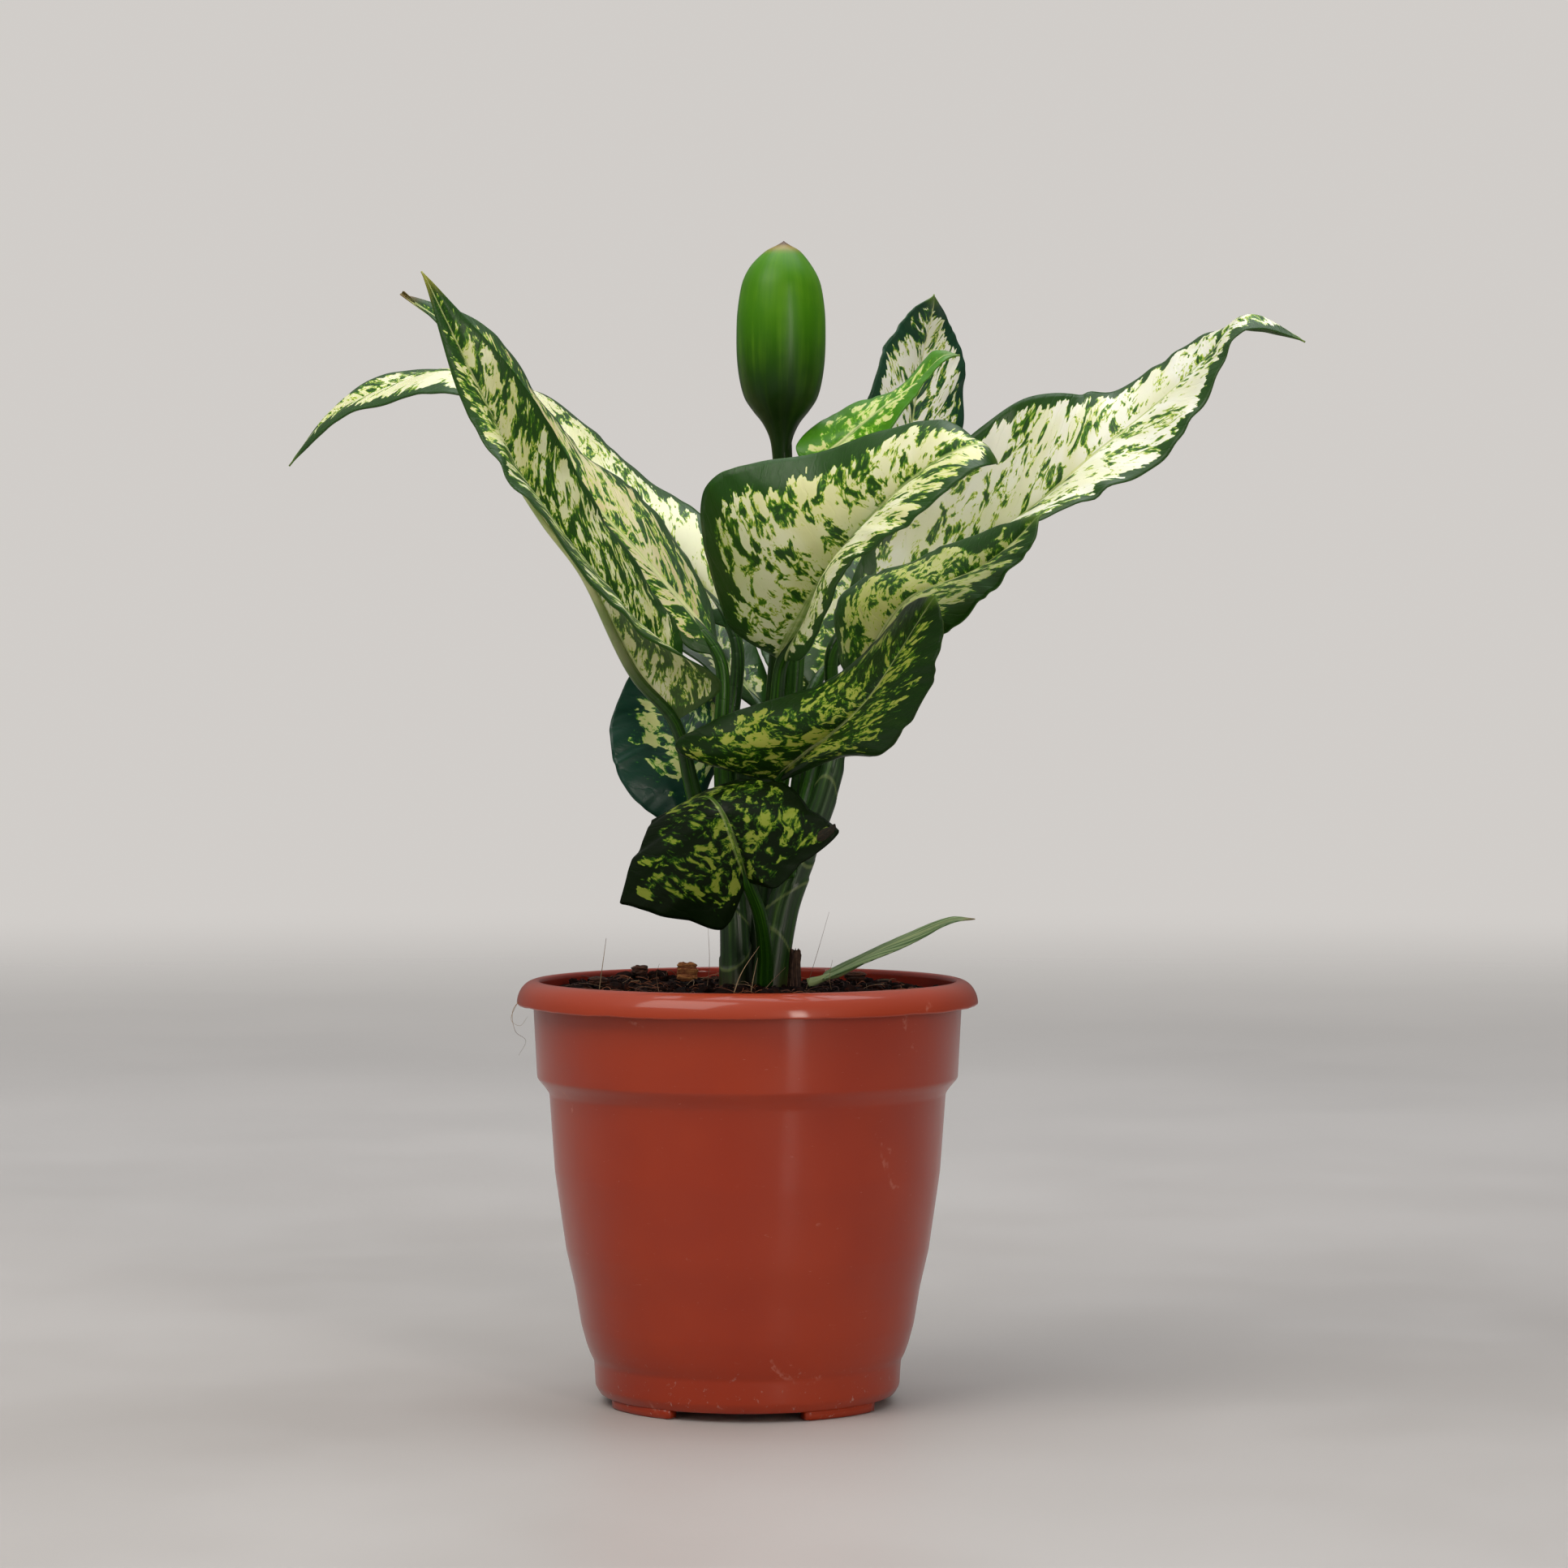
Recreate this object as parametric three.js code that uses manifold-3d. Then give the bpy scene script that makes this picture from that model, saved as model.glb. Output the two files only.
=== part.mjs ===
// A potted Chinese evergreen: a moulded pot, its soil, three canes, fourteen leaves and a flower bud.
// Millimetres, +Z up. The origin lies on the ground under the middle of the whole plant's spread.
import * as THREE from 'three';
import { mergeVertices } from 'three/addons/utils/BufferGeometryUtils.js';
import Module from 'manifold-3d';

// ---------------------------------------------------------------- driving dimensions
const POT_AXIS = new THREE.Vector3(-12, 0, 0); // where the pot stands under the plant's spread
const POT_HEIGHT = 146;
const LIP_RADIUS = 80;
const LIP_DROP = 8.4;
const RIM_RADIUS = 73.3;
const WALL = 1.6;
const COLLAR_BOTTOM = 112.5;
const FOOT_HEIGHT = 3;
const FOOT_RADIUS = 49;
const FOOT_WIDTH = 5;
const FOOT_SPAN = 35; // degrees of arc
const FOOT_ANGLES = [-50, 40, 130, 220]; // degrees, from the front towards +X
const DRAIN_RADIUS = 5;
const DRAIN_CIRCLE = 28;
const POT_SEGMENTS = 40;

const GAP = 0.4; // between pieces that touch
const SOIL_EDGE = 141.5;
const SOIL_CROWN = 2.5;
const SOIL_RADIUS = 71.2; // at its top
const SOIL_UNEVENNESS = 0.5;
const HEAP = { x: -44, y: 34, height: 2.6, spread: 26.5 }; // soil thrown up at one side
const CANE_CLEARANCE = 1.2; // the canes stand this far above the middle of the soil

const STALK_RADIUS = 2.8;
const LEAF_THICKNESS = 1;
const STALK_RINGS = 5;
const BLADE_RINGS = 13;
const RING_SIDES = 10;
// How far along the blade the four points of each margin stand, from its base to its tip.
const MARGIN_STATIONS = [0, 0.12, 0.35, 0.6, 0.84, 1];
const BLADE_START = 0.02; // share of the blade's length, where its two halves are first measured
const FLAT_FROM = 0.07; // and where the round stalk has become flat
const LAST_RING = 0.985; // and where the tip closes
const END_CROWDING = 0.09; // rings stand closer together near both ends
const RIB_TAPER = 0.75; // the rib at the tip is this much thinner than the stalk
const RIDGE_DEPTH = 0.8; // the rib stands this share of its radius out of the underside
const EDGE_THINNING = 0.4; // the margins are this much thinner than the middle

// ---------------------------------------------------------------- colours
const paint = (color, roughness) => new THREE.MeshStandardMaterial({ color, roughness, metalness: 0 });
const TERRACOTTA = paint('#a5482f', 0.4);
const SOIL = paint('#2b1712', 0.95);
const CANE = paint('#47702c', 0.55);
const VARIEGATED = paint('#a9bf7c', 0.4);
const DARK_LEAF = paint('#2f5a2a', 0.38);
const BUD = paint('#4f8228', 0.4);
const BARK = paint('#6b4128', 0.9);

// ---------------------------------------------------------------- curves and closed sweeps
const vec = ([x, y, z]) => new THREE.Vector3(x, y, z);
const degrees = THREE.MathUtils.degToRad;

/** A smooth curve through points, each at its own knot; knots go from 0 to 1. */
class Track extends THREE.Curve {
  constructor(points, knots = chordKnots(points)) {
    super();
    this.points = points;
    this.knots = knots;
    this.slopes = points.map((_, i) => {
      const before = Math.max(i - 1, 0);
      const after = Math.min(i + 1, points.length - 1);
      return points[after].clone().sub(points[before]).divideScalar(knots[after] - knots[before]);
    });
  }

  getPoint(t, target = new THREE.Vector3()) {
    const { points, knots, slopes } = this;
    let i = 0;
    while (i < knots.length - 2 && t > knots[i + 1]) i += 1;
    const span = knots[i + 1] - knots[i];
    const k = (t - knots[i]) / span;
    const k2 = k * k;
    const k3 = k2 * k;
    return target
      .copy(points[i]).multiplyScalar(2 * k3 - 3 * k2 + 1)
      .addScaledVector(slopes[i], (k3 - 2 * k2 + k) * span)
      .addScaledVector(points[i + 1], -2 * k3 + 3 * k2)
      .addScaledVector(slopes[i + 1], (k3 - k2) * span);
  }
}

function chordKnots(points) {
  const lengths = [0];
  for (let i = 1; i < points.length; i += 1) {
    lengths.push(lengths[i - 1] + points[i].distanceTo(points[i - 1]));
  }
  return lengths.map((length) => length / lengths.at(-1));
}

/** A closed body through rings of points that run anticlockwise as seen from the last ring. */
function loft(rings) {
  const sides = rings[0].length;
  const corners = rings.flat();
  const positions = corners.flatMap((p) => p.toArray());
  const index = [];
  for (let r = 0; r < rings.length - 1; r += 1) {
    for (let i = 0; i < sides; i += 1) {
      const [a, b] = [r * sides + i, r * sides + ((i + 1) % sides)];
      const [c, d] = [b + sides, a + sides];
      const shortest = corners[a].distanceTo(corners[c]) <= corners[b].distanceTo(corners[d]);
      index.push(...(shortest ? [a, b, c, a, c, d] : [a, b, d, b, c, d]));
    }
  }
  const cap = (ring, flip) => {
    const middle = ring.reduce((sum, p) => sum.add(p), new THREE.Vector3()).divideScalar(sides);
    const hub = positions.length / 3;
    positions.push(...middle.toArray());
    const first = flip ? 0 : (rings.length - 1) * sides;
    for (let i = 0; i < sides; i += 1) {
      const a = first + i;
      const b = first + ((i + 1) % sides);
      index.push(...(flip ? [hub, b, a] : [hub, a, b]));
    }
  };
  cap(rings[0], true);
  cap(rings.at(-1), false);
  const geometry = new THREE.BufferGeometry();
  geometry.setAttribute('position', new THREE.Float32BufferAttribute(positions, 3));
  geometry.setIndex(index);
  geometry.computeVertexNormals();
  return geometry;
}

/** A round stem along points, from one radius to another. */
function stem(points, fromRadius, toRadius, rings = 8, sides = 12) {
  const track = new Track(points.map(vec));
  const side = new THREE.Vector3(1, 0, 0);
  return loft(Array.from({ length: rings }, (_, r) => {
    const t = r / (rings - 1);
    const middle = track.getPoint(t);
    const along = track.getTangent(t);
    const u = side.clone().addScaledVector(along, -side.dot(along)).normalize();
    const v = along.clone().cross(u);
    const radius = THREE.MathUtils.lerp(fromRadius, toRadius, t);
    return Array.from({ length: sides }, (__, i) => {
      const angle = (i / sides) * 2 * Math.PI;
      return middle.clone()
        .addScaledVector(u, radius * Math.cos(angle))
        .addScaledVector(v, radius * Math.sin(angle));
    });
  }));
}

/**
 * One leaf: a round stalk that flattens into a blade. The rib runs from the blade's base to its tip;
 * left and right are four points on each margin, as seen from above with the tip ahead.
 */
function leaf({ stalk, rib, left, right, radius = STALK_RADIUS, thickness = LEAF_THICKNESS }) {
  const midline = new Track([...stalk, ...rib].map(vec));
  const base = midline.knots[stalk.length];
  const margin = (points) => new Track([rib[0], ...points, rib.at(-1)].map(vec), MARGIN_STATIONS);
  const edges = { left: margin(left), right: margin(right) };
  const columns = RING_SIDES / 2;
  const onMidline = (u) => midline.getPoint(base + (1 - base) * u);
  const reach = (edge, u) => edge.getPoint(u).sub(onMidline(u));

  const ring = (along) => {
    const u = Math.max(along, 0);
    const t = along < 0 ? base * (1 + along) : base + (1 - base) * along;
    const middle = midline.getPoint(t);
    const forward = midline.getTangent(t);
    const toLeft = reach(edges.left, Math.max(u, BLADE_START));
    const toRight = reach(edges.right, Math.max(u, BLADE_START));
    const across = toLeft.clone().normalize().sub(toRight.clone().normalize());
    across.addScaledVector(forward, -across.dot(forward)).normalize();
    const up = forward.clone().cross(across);
    const flatness = THREE.MathUtils.smoothstep(u, 0, FLAT_FROM);
    const ribRadius = radius * (1 - RIB_TAPER * u);

    const onBlade = (v, face) => {
      const half = v < 0 ? toRight : toLeft;
      const normal = v === 0 ? up : forward.clone().cross(half).multiplyScalar(Math.sign(v)).normalize();
      const depth = (thickness / 2) * (1 - EDGE_THINNING * Math.abs(v));
      const ridge = face < 0 && v === 0 ? ribRadius * RIDGE_DEPTH : 0;
      return middle.clone()
        .addScaledVector(half, Math.abs(v) * Math.min(u / BLADE_START, 1))
        .addScaledVector(normal, face * depth - ridge);
    };
    const onStalk = (v, face) => {
      const angle = Math.PI / 2 - v * (Math.PI / 2 - Math.PI / RING_SIDES);
      return middle.clone()
        .addScaledVector(across, ribRadius * Math.cos(angle))
        .addScaledVector(up, face * ribRadius * Math.sin(angle));
    };
    const point = (column, face) => {
      const v = 1 - (2 * column) / (columns - 1); // 1 at the left margin, -1 at the right
      return onStalk(v, face).lerp(onBlade(v, face), flatness);
    };
    const order = [...Array(columns).keys()];
    return [...order.map((c) => point(c, 1)), ...order.reverse().map((c) => point(c, -1))];
  };

  const stalkSteps = Array.from({ length: STALK_RINGS }, (_, i) => i / STALK_RINGS - 1);
  const bladeSteps = Array.from({ length: BLADE_RINGS }, (_, i) => {
    const s = i / (BLADE_RINGS - 1);
    return LAST_RING * (s - END_CROWDING * Math.sin(2 * Math.PI * s));
  });
  return loft([...stalkSteps, ...bladeSteps].map(ring));
}

// ---------------------------------------------------------------- joins and cuts
const wasm = await Module();
wasm.setup();

function solid(geometry) {
  const bare = geometry.clone();
  bare.deleteAttribute('normal');
  bare.deleteAttribute('uv');
  const merged = mergeVertices(bare, 1e-3);
  const triVerts = [];
  for (let i = 0; i < merged.index.count; i += 3) {
    const [a, b, c] = [0, 1, 2].map((k) => merged.index.getX(i + k));
    if (a !== b && b !== c && c !== a) triVerts.push(a, b, c);
  }
  return new wasm.Manifold(new wasm.Mesh({
    numProp: 3,
    vertProperties: new Float32Array(merged.attributes.position.array),
    triVerts: new Uint32Array(triVerts),
  }));
}

function toGeometry(manifold) {
  const { vertProperties, triVerts } = manifold.getMesh();
  const geometry = new THREE.BufferGeometry();
  geometry.setAttribute('position', new THREE.Float32BufferAttribute(vertProperties, 3));
  geometry.setIndex([...triVerts]);
  geometry.computeVertexNormals();
  return geometry;
}

// ---------------------------------------------------------------- pot and soil
// Radius and height, outside: the body from its foot collar up, the rim's collar, and under the lip.
const BODY = [
  [51, 3], [52.8, 6], [53.3, 14.5], [54.6, 17], [55.9, 20.5], [57.7, 27],
  [59.9, 40], [62.9, 53], [66.8, 80], [68.8, 107], [70.5, 109.5],
];
const COLLAR = [[73, COLLAR_BOTTOM], [74.2, 136], [74.3, 141]];
const UNDER_LIP = [[75.5, 143.2], [77.4, 141.6]];
const INNER_EDGE = [[RIM_RADIUS - 1.4, POT_HEIGHT - 1], [72.4, 136]];
const LIP_CURVE = [22, 45, 67]; // degrees up from the lip's outermost edge

/** The inside of a wall whose outside is given, never lower than the pot's floor. */
const innerWall = (outside) => outside.map(([r, z]) => [r - WALL, Math.max(z, FOOT_HEIGHT + WALL)]);
const turned = (profile, segments) =>
  new THREE.LatheGeometry(profile.map(([r, z]) => new THREE.Vector2(r, z)), segments).rotateX(Math.PI / 2);

function potGeometry() {
  const lipEdge = POT_HEIGHT - LIP_DROP;
  const lipCurve = LIP_CURVE.map(degrees).map((angle) => [
    RIM_RADIUS + (LIP_RADIUS - RIM_RADIUS) * Math.cos(angle),
    lipEdge + LIP_DROP * Math.sin(angle),
  ]);
  const lip = [[LIP_RADIUS - WALL, lipEdge], [LIP_RADIUS, lipEdge], ...lipCurve, [RIM_RADIUS, POT_HEIGHT]];
  const inside = innerWall([COLLAR[0], ...BODY.slice(1).reverse()]);
  const floor = [[BODY[0][0] - 1, FOOT_HEIGHT + WALL], [0, FOOT_HEIGHT + WALL]];
  const profile = [
    [0, FOOT_HEIGHT], ...BODY, ...COLLAR, ...UNDER_LIP, ...lip, ...INNER_EDGE, ...inside, ...floor,
  ];
  let pot = solid(turned(profile, POT_SEGMENTS));
  for (const angle of FOOT_ANGLES) pot = pot.add(solid(footGeometry(angle)));
  for (const angle of FOOT_ANGLES) {
    const turn = degrees(angle + 45);
    const drain = new THREE.CylinderGeometry(DRAIN_RADIUS, DRAIN_RADIUS, 4 * WALL, 16)
      .rotateX(Math.PI / 2)
      .translate(DRAIN_CIRCLE * Math.sin(turn), -DRAIN_CIRCLE * Math.cos(turn), FOOT_HEIGHT);
    pot = pot.subtract(solid(drain));
  }
  return toGeometry(pot);
}

function footGeometry(angle) {
  const from = degrees(angle - FOOT_SPAN / 2 - 90);
  const to = degrees(angle + FOOT_SPAN / 2 - 90);
  const outline = new THREE.Shape();
  outline.absarc(0, 0, FOOT_RADIUS + FOOT_WIDTH / 2, from, to, false);
  outline.absarc(0, 0, FOOT_RADIUS - FOOT_WIDTH / 2, to, from, true);
  const depth = FOOT_HEIGHT + WALL / 2;
  return new THREE.ExtrudeGeometry(outline, { depth, bevelEnabled: false, curveSegments: 5 });
}

/** Height of the soil's top above its edge, at a place in the pot. */
const soilSwell = (x, y) => {
  const crown = SOIL_CROWN * (1 - (Math.hypot(x, y) / SOIL_RADIUS) ** 2);
  const heap = HEAP.height * Math.exp(-((Math.hypot(x - HEAP.x, y - HEAP.y) / HEAP.spread) ** 2));
  return crown + heap + SOIL_UNEVENNESS * Math.sin(x / 7) * Math.cos(y / 6);
};

function soilGeometry() {
  const floor = FOOT_HEIGHT + WALL;
  const side = [[0, floor], [BODY[0][0] - WALL, floor], ...innerWall([...BODY.slice(2), COLLAR[0]])]
    .map(([r, z]) => [Math.max(r - GAP, 0), z + GAP]);
  const top = [SOIL_RADIUS, 62, 50, 38, 26, 13, 0].map((r) => [r, SOIL_EDGE]);
  const geometry = turned([...side, ...top], 32);
  const place = geometry.attributes.position;
  for (let i = 0; i < place.count; i += 1) {
    if (place.getZ(i) > SOIL_EDGE - 1) {
      place.setZ(i, SOIL_EDGE + soilSwell(place.getX(i), place.getY(i)));
    }
  }
  return geometry;
}

// ---------------------------------------------------------------- canes and leaves
const SOIL_TOP = SOIL_EDGE + SOIL_CROWN + CANE_CLEARANCE;

const CANES = {
  cane_left: [[[-4, 5, SOIL_TOP], [-5, 7, 170], [-8, 9, 195], [-10, 11, 212]], 5, 3.4],
  cane_middle: [[[3, 14, SOIL_TOP], [5, 14, 175], [8, 14, 205], [9, 12, 228]], 4.6, 3.2],
  cane_right: [[[7, -2, SOIL_TOP + 0.6], [12, -1, 170], [18, 0, 187], [26, 1, 207], [31, 3, 224]], 5.4, 4.6],
};

// The dead end of an old cane that stands beside the living ones.
const DRY_STUB = [[[16, -4, SOIL_TOP], [16, -4, 150], [16.4, -4, 156]], 2.3, 2];

const LEAVES = {
  leaf_left_tall: {
    stalk: [[-13, 4, 190], [-19, 0, 212]],
    rib: [[-25, -8, 235], [-39, -18, 256], [-54, -36, 286], [-67, -48, 303], [-77, -58, 319],
      [-86, -66, 340], [-95, -70, 359], [-107, -72, 384]],
    left: [[-9, -22, 248], [-37, -66, 267], [-71, -88, 307], [-93, -76, 339]],
    right: [[-23, 2, 262], [-33, -6, 281], [-55, -32, 315], [-77, -64, 351]],
  },
  leaf_left_upper: {
    stalk: [[-8, 3.4, 204], [-9, 4, 232]],
    rib: [[-10, 6, 258], [-31, 12, 286], [-56, 16, 314], [-77, 18, 343], [-98, 20, 368], [-121, 20, 385]],
    left: [[-22, 4, 262], [-48, 2, 292], [-74, 6, 325], [-104, 10, 366]],
    right: [[-14, 24, 279], [-35, 38, 311], [-64, 42, 337], [-92, 32, 374]],
  },
  leaf_left_far: {
    stalk: [[-8, 16.4, 198], [-6, 23, 232]],
    rib: [[-5, 30, 267], [-35, 46, 302], [-57, 58, 326], [-79, 70, 346], [-106, 82, 362], [-134, 92, 356],
      [-155, 98, 345], [-169, 102, 329]],
    left: [[-22, 28, 276], [-51, 36, 320], [-98, 56, 350], [-143, 82, 347]],
    right: [[-8, 46, 299], [-40, 78, 326], [-79, 100, 356], [-136, 106, 362]],
  },
  leaf_front_large: {
    stalk: [[8.5, 6, 216], [10, 2, 238]],
    rib: [[12, -5, 256], [22, -32, 274], [32, -55, 290], [42, -74, 303], [52, -90, 313], [65, -102, 322],
      [76, -108, 325], [81, -108, 319]],
    left: [[-7, -8, 270], [-14, -47, 314], [23, -58, 325], [63, -88, 334]],
    right: [[20, -28, 258], [32, -86, 284], [49, -112, 298], [72, -118, 316]],
  },
  leaf_centre_young: {
    stalk: [[14.4, 10, 222], [18, 7, 270]],
    rib: [[22, 1, 320], [34, 2, 333], [47, 1, 344], [59, -1, 353], [67, -3, 361], [73, -5, 362]],
    left: [[17, 4, 331], [33, 14, 344], [53, 12, 351], [64, 3, 363]],
    right: [[28, -5, 320], [42, -10, 327], [56, -11, 345], [66, -8, 358]],
    radius: 2.2,
  },
  leaf_right_large: {
    stalk: [[29.5, 10.4, 217], [30, 14, 240]],
    rib: [[31, 16, 263], [59, 26, 285], [95, 32, 306], [122, 32, 329], [143, 28, 346], [161, 20, 363],
      [174, 12, 377], [193, 0, 367]],
    left: [[42, 22, 296], [92, 32, 346], [130, 46, 353], [168, 32, 373]],
    right: [[50, 6, 274], [97, 0, 304], [145, -2, 327], [171, 0, 369]],
  },
  leaf_right_upright: {
    stalk: [[19, 7.8, 200], [28, 23, 232], [39, 34, 260]],
    rib: [[47, 42, 284], [55, 52, 313], [59, 60, 342], [63, 64, 366], [66, 62, 380], [67, 54, 387]],
    left: [[37, 36, 301], [40, 38, 335], [47, 46, 364], [58, 54, 381]],
    right: [[61, 56, 305], [76, 72, 332], [78, 74, 364], [72, 68, 380]],
  },
  leaf_right_low: {
    stalk: [[31.5, 2.5, 227.5], [34, -3, 237]],
    rib: [[37, -8, 246], [44, -22, 262], [55, -38, 277], [76, -56, 286], [88, -70, 295], [96, -78, 304]],
    left: [[32, 3, 258], [33, -2, 280], [57, -21, 291], [82, -54, 300]],
    right: [[46, -28, 250], [62, -60, 262], [78, -78, 277], [93, -83, 293]],
  },
  leaf_front_low: {
    stalk: [[13.8, -8.2, 182], [11, -12, 200]],
    rib: [[10, -15, 214], [20, -32, 225], [28, -44, 231], [39, -62, 242], [47, -78, 254], [56, -90, 269],
      [61, -94, 277]],
    left: [[-24, -25, 225], [-6, -28, 238], [30, -34, 251], [53, -71, 274]],
    right: [[30, -45, 223], [46, -80, 226], [59, -98, 247], [63, -100, 267]],
  },
  leaf_front_lowest: {
    stalk: [[6, -12, SOIL_TOP], [6, -16, 155], [4, -26, 170]],
    rib: [[0, -34, 181], [-4, -42, 193], [-8, -46, 204], [-13, -40, 210], [-21, -28, 208], [-28, -20, 202]],
    left: [[-10, -32, 164], [-40, -34, 176], [-34, -30, 198], [-28, -24, 203]],
    right: [[12, -48, 180], [30, -48, 198], [10, -36, 214], [-14, -28, 212]],
  },
  leaf_back_left: {
    stalk: [[-12.6, 9.4, 168], [-14.6, 11.6, 188]],
    rib: [[-16, 13, 204], [-20, 15, 219], [-26, 22, 233], [-32, 30, 246], [-38, 34, 257]],
    left: [[-24, 8, 199], [-42, 6, 211], [-48, 12, 231], [-43, 24, 248]],
    right: [[-13, 20, 214], [-4, 41, 233], [-12, 50, 246], [-26, 44, 255]],
  },
  leaf_rear_right: {
    stalk: [[12.4, 13.3, 172], [16, 17, 196], [19, 25, 222]],
    rib: [[23, 33, 246], [40, 50, 272], [54, 74, 290], [68, 98, 298], [78, 120, 294]],
    left: [[17, 42, 259], [24, 64, 290], [44, 92, 306], [64, 112, 302]],
    right: [[36, 42, 258], [60, 54, 278], [74, 82, 296], [82, 106, 298]],
  },
  leaf_rear_left: {
    stalk: [[-1.2, 17, 186], [2, 28, 214]],
    rib: [[5, 36, 238], [-12, 52, 260], [-28, 72, 280], [-43, 94, 294], [-57, 116, 298]],
    left: [[-8, 34, 248], [-34, 54, 270], [-52, 80, 292], [-59, 104, 298]],
    right: [[8, 48, 248], [-6, 72, 278], [-20, 94, 296], [-42, 110, 302]],
  },
  leaf_rear_middle: {
    stalk: [[9, 21.3, 200], [13, 25, 222]],
    rib: [[16, 31, 242], [16, 52, 258], [15, 76, 270], [14, 98, 275], [12, 120, 270]],
    left: [[10, 38, 249], [4, 60, 264], [2, 86, 280], [6, 108, 279]],
    right: [[22, 38, 245], [31, 60, 261], [34, 88, 278], [25, 110, 278]],
  },
  blade_of_grass: {
    stalk: [[21, -9, SOIL_TOP]],
    rib: [[26, -10, 147], [36, -11, 152], [48, -12, 158], [60, -13, 163], [70, -14, 167], [78, -15, 168]],
    left: [[27, -7, 149], [37, -7, 154], [54, -10, 162], [69, -12, 168]],
    right: [[27, -13, 147], [39, -15, 152], [56, -15, 159], [69, -16, 166]],
    radius: 1.2,
    thickness: 0.7,
  },
};

const DARK_LEAVES = ['leaf_front_low', 'leaf_front_lowest', 'leaf_back_left', 'blade_of_grass'];

// The bud's outline, from its foot to its beak.
const BUD_OUTLINE = [
  [0, 334.6], [4.6, 334.6], [6.3, 338.6], [9.5, 342.6], [12.2, 347.2], [14, 353.5], [15.2, 361.5], [15.5, 371],
  [15.2, 378], [14, 386], [12.6, 390], [10, 394.2], [6, 398.4], [2.6, 400.4], [0, 402],
];
const BUD_AXIS = [11.8, 9];
const BUD_STALK = [[[9, 12, 229], [12, 11, 270], [13.5, 10, 310], [13.2, 9.4, 334]], 3.9, 3.5];

function budGeometry() {
  return turned(BUD_OUTLINE, 20).translate(...BUD_AXIS, 0);
}

// Loose bark on the soil: where each chip lies, its half sizes and its turn in degrees.
const BARK_CHIPS = [
  [-21, 8, [4.2, 1.8, 3.6], 20],
  [-38, 26, [5, 3, 2], 70],
  [-52, 6, [3.4, 4.6, 1.6], 10],
  [38, 26, [4.6, 3, 1.8], -30],
];

function chipGeometry([x, y, [a, b, c], turn]) {
  return new THREE.IcosahedronGeometry(1, 1)
    .scale(a, b, c)
    .rotateZ(degrees(turn))
    .translate(x, y, SOIL_EDGE + soilSwell(x, y) + c + GAP);
}

// ---------------------------------------------------------------- assembly
const part = new THREE.Group();
const plant = new THREE.Group();
plant.position.copy(POT_AXIS);
part.add(plant);

function add(name, geometry, material) {
  const mesh = new THREE.Mesh(geometry, material);
  mesh.name = name;
  plant.add(mesh);
}

add('pot', potGeometry(), TERRACOTTA);
add('soil', soilGeometry(), SOIL);
for (const [name, [points, from, to]] of Object.entries(CANES)) add(name, stem(points, from, to), CANE);
for (const [name, shape] of Object.entries(LEAVES)) {
  add(name, leaf(shape), DARK_LEAVES.includes(name) ? DARK_LEAF : VARIEGATED);
}
add('bud_stalk', stem(...BUD_STALK), BUD);
add('flower_bud', budGeometry(), BUD);
add('dry_stub', stem(...DRY_STUB, 3, 8), BARK);
BARK_CHIPS.forEach((chip, i) => add(`bark_chip_${i + 1}`, chipGeometry(chip), BARK));

export default part;
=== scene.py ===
"""A potted chinese evergreen: variegated leaves on three short canes, one closed flower bud,
dark potting mix and a moulded terracotta-coloured plastic pot."""
import math

import bpy
import numpy as np
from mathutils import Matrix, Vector


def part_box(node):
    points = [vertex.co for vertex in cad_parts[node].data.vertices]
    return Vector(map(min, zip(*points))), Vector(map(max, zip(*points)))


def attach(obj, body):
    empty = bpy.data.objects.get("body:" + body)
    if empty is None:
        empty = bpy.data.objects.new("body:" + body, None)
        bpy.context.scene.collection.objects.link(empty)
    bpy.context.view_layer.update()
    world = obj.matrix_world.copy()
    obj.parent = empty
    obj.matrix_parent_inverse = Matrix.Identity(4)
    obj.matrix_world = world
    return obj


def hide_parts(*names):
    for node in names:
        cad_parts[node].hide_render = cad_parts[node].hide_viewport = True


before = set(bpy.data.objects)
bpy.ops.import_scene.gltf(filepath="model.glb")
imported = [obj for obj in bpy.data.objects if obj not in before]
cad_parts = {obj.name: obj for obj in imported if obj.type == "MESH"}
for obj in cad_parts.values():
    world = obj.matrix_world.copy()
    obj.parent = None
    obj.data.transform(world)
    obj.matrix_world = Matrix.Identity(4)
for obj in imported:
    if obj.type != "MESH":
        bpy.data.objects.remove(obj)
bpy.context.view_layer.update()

MM = 0.001
pot_low, pot_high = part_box("pot")
POT_AXIS = np.array([(pot_low[0] + pot_high[0]) / 2, (pot_low[1] + pot_high[1]) / 2, 0.0])

# Sizes in millimetres from the pot's axis and the ground, as the plant's CAD has them.
POT_HEIGHT, RIM_RADIUS, LIP_RADIUS, LIP_DROP = 146, 73.3, 80, 8.4
WALL, COLLAR_BOTTOM, FOOT_HEIGHT = 1.6, 112.5, 3
FOOT_RADIUS, FOOT_WIDTH, FOOT_SPAN, FIRST_FOOT = 49, 5, 35, -50
SOIL_EDGE, SOIL_CROWN, SOIL_RADIUS = 141.5, 2.5, 71.2
SOIL_TOP = SOIL_EDGE + SOIL_CROWN + 1.2
SOIL_SKIRT, SOIL_FOOT = 128.0, 127.0
STALK_RADIUS, LEAF_THICKNESS = 2.3, 1.0
MARGIN_STATIONS = [0, 0.12, 0.35, 0.6, 0.84, 1]
VEIN_SPACING, VEIN_LEAN, VEIN_CURVE = 6.5, 0.3, 0.004
FULL_TURN = 6.28
WELD_DISTANCE = 0.00002  # metres
CRUMB_NOISE_SCALE = 420.0


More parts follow.
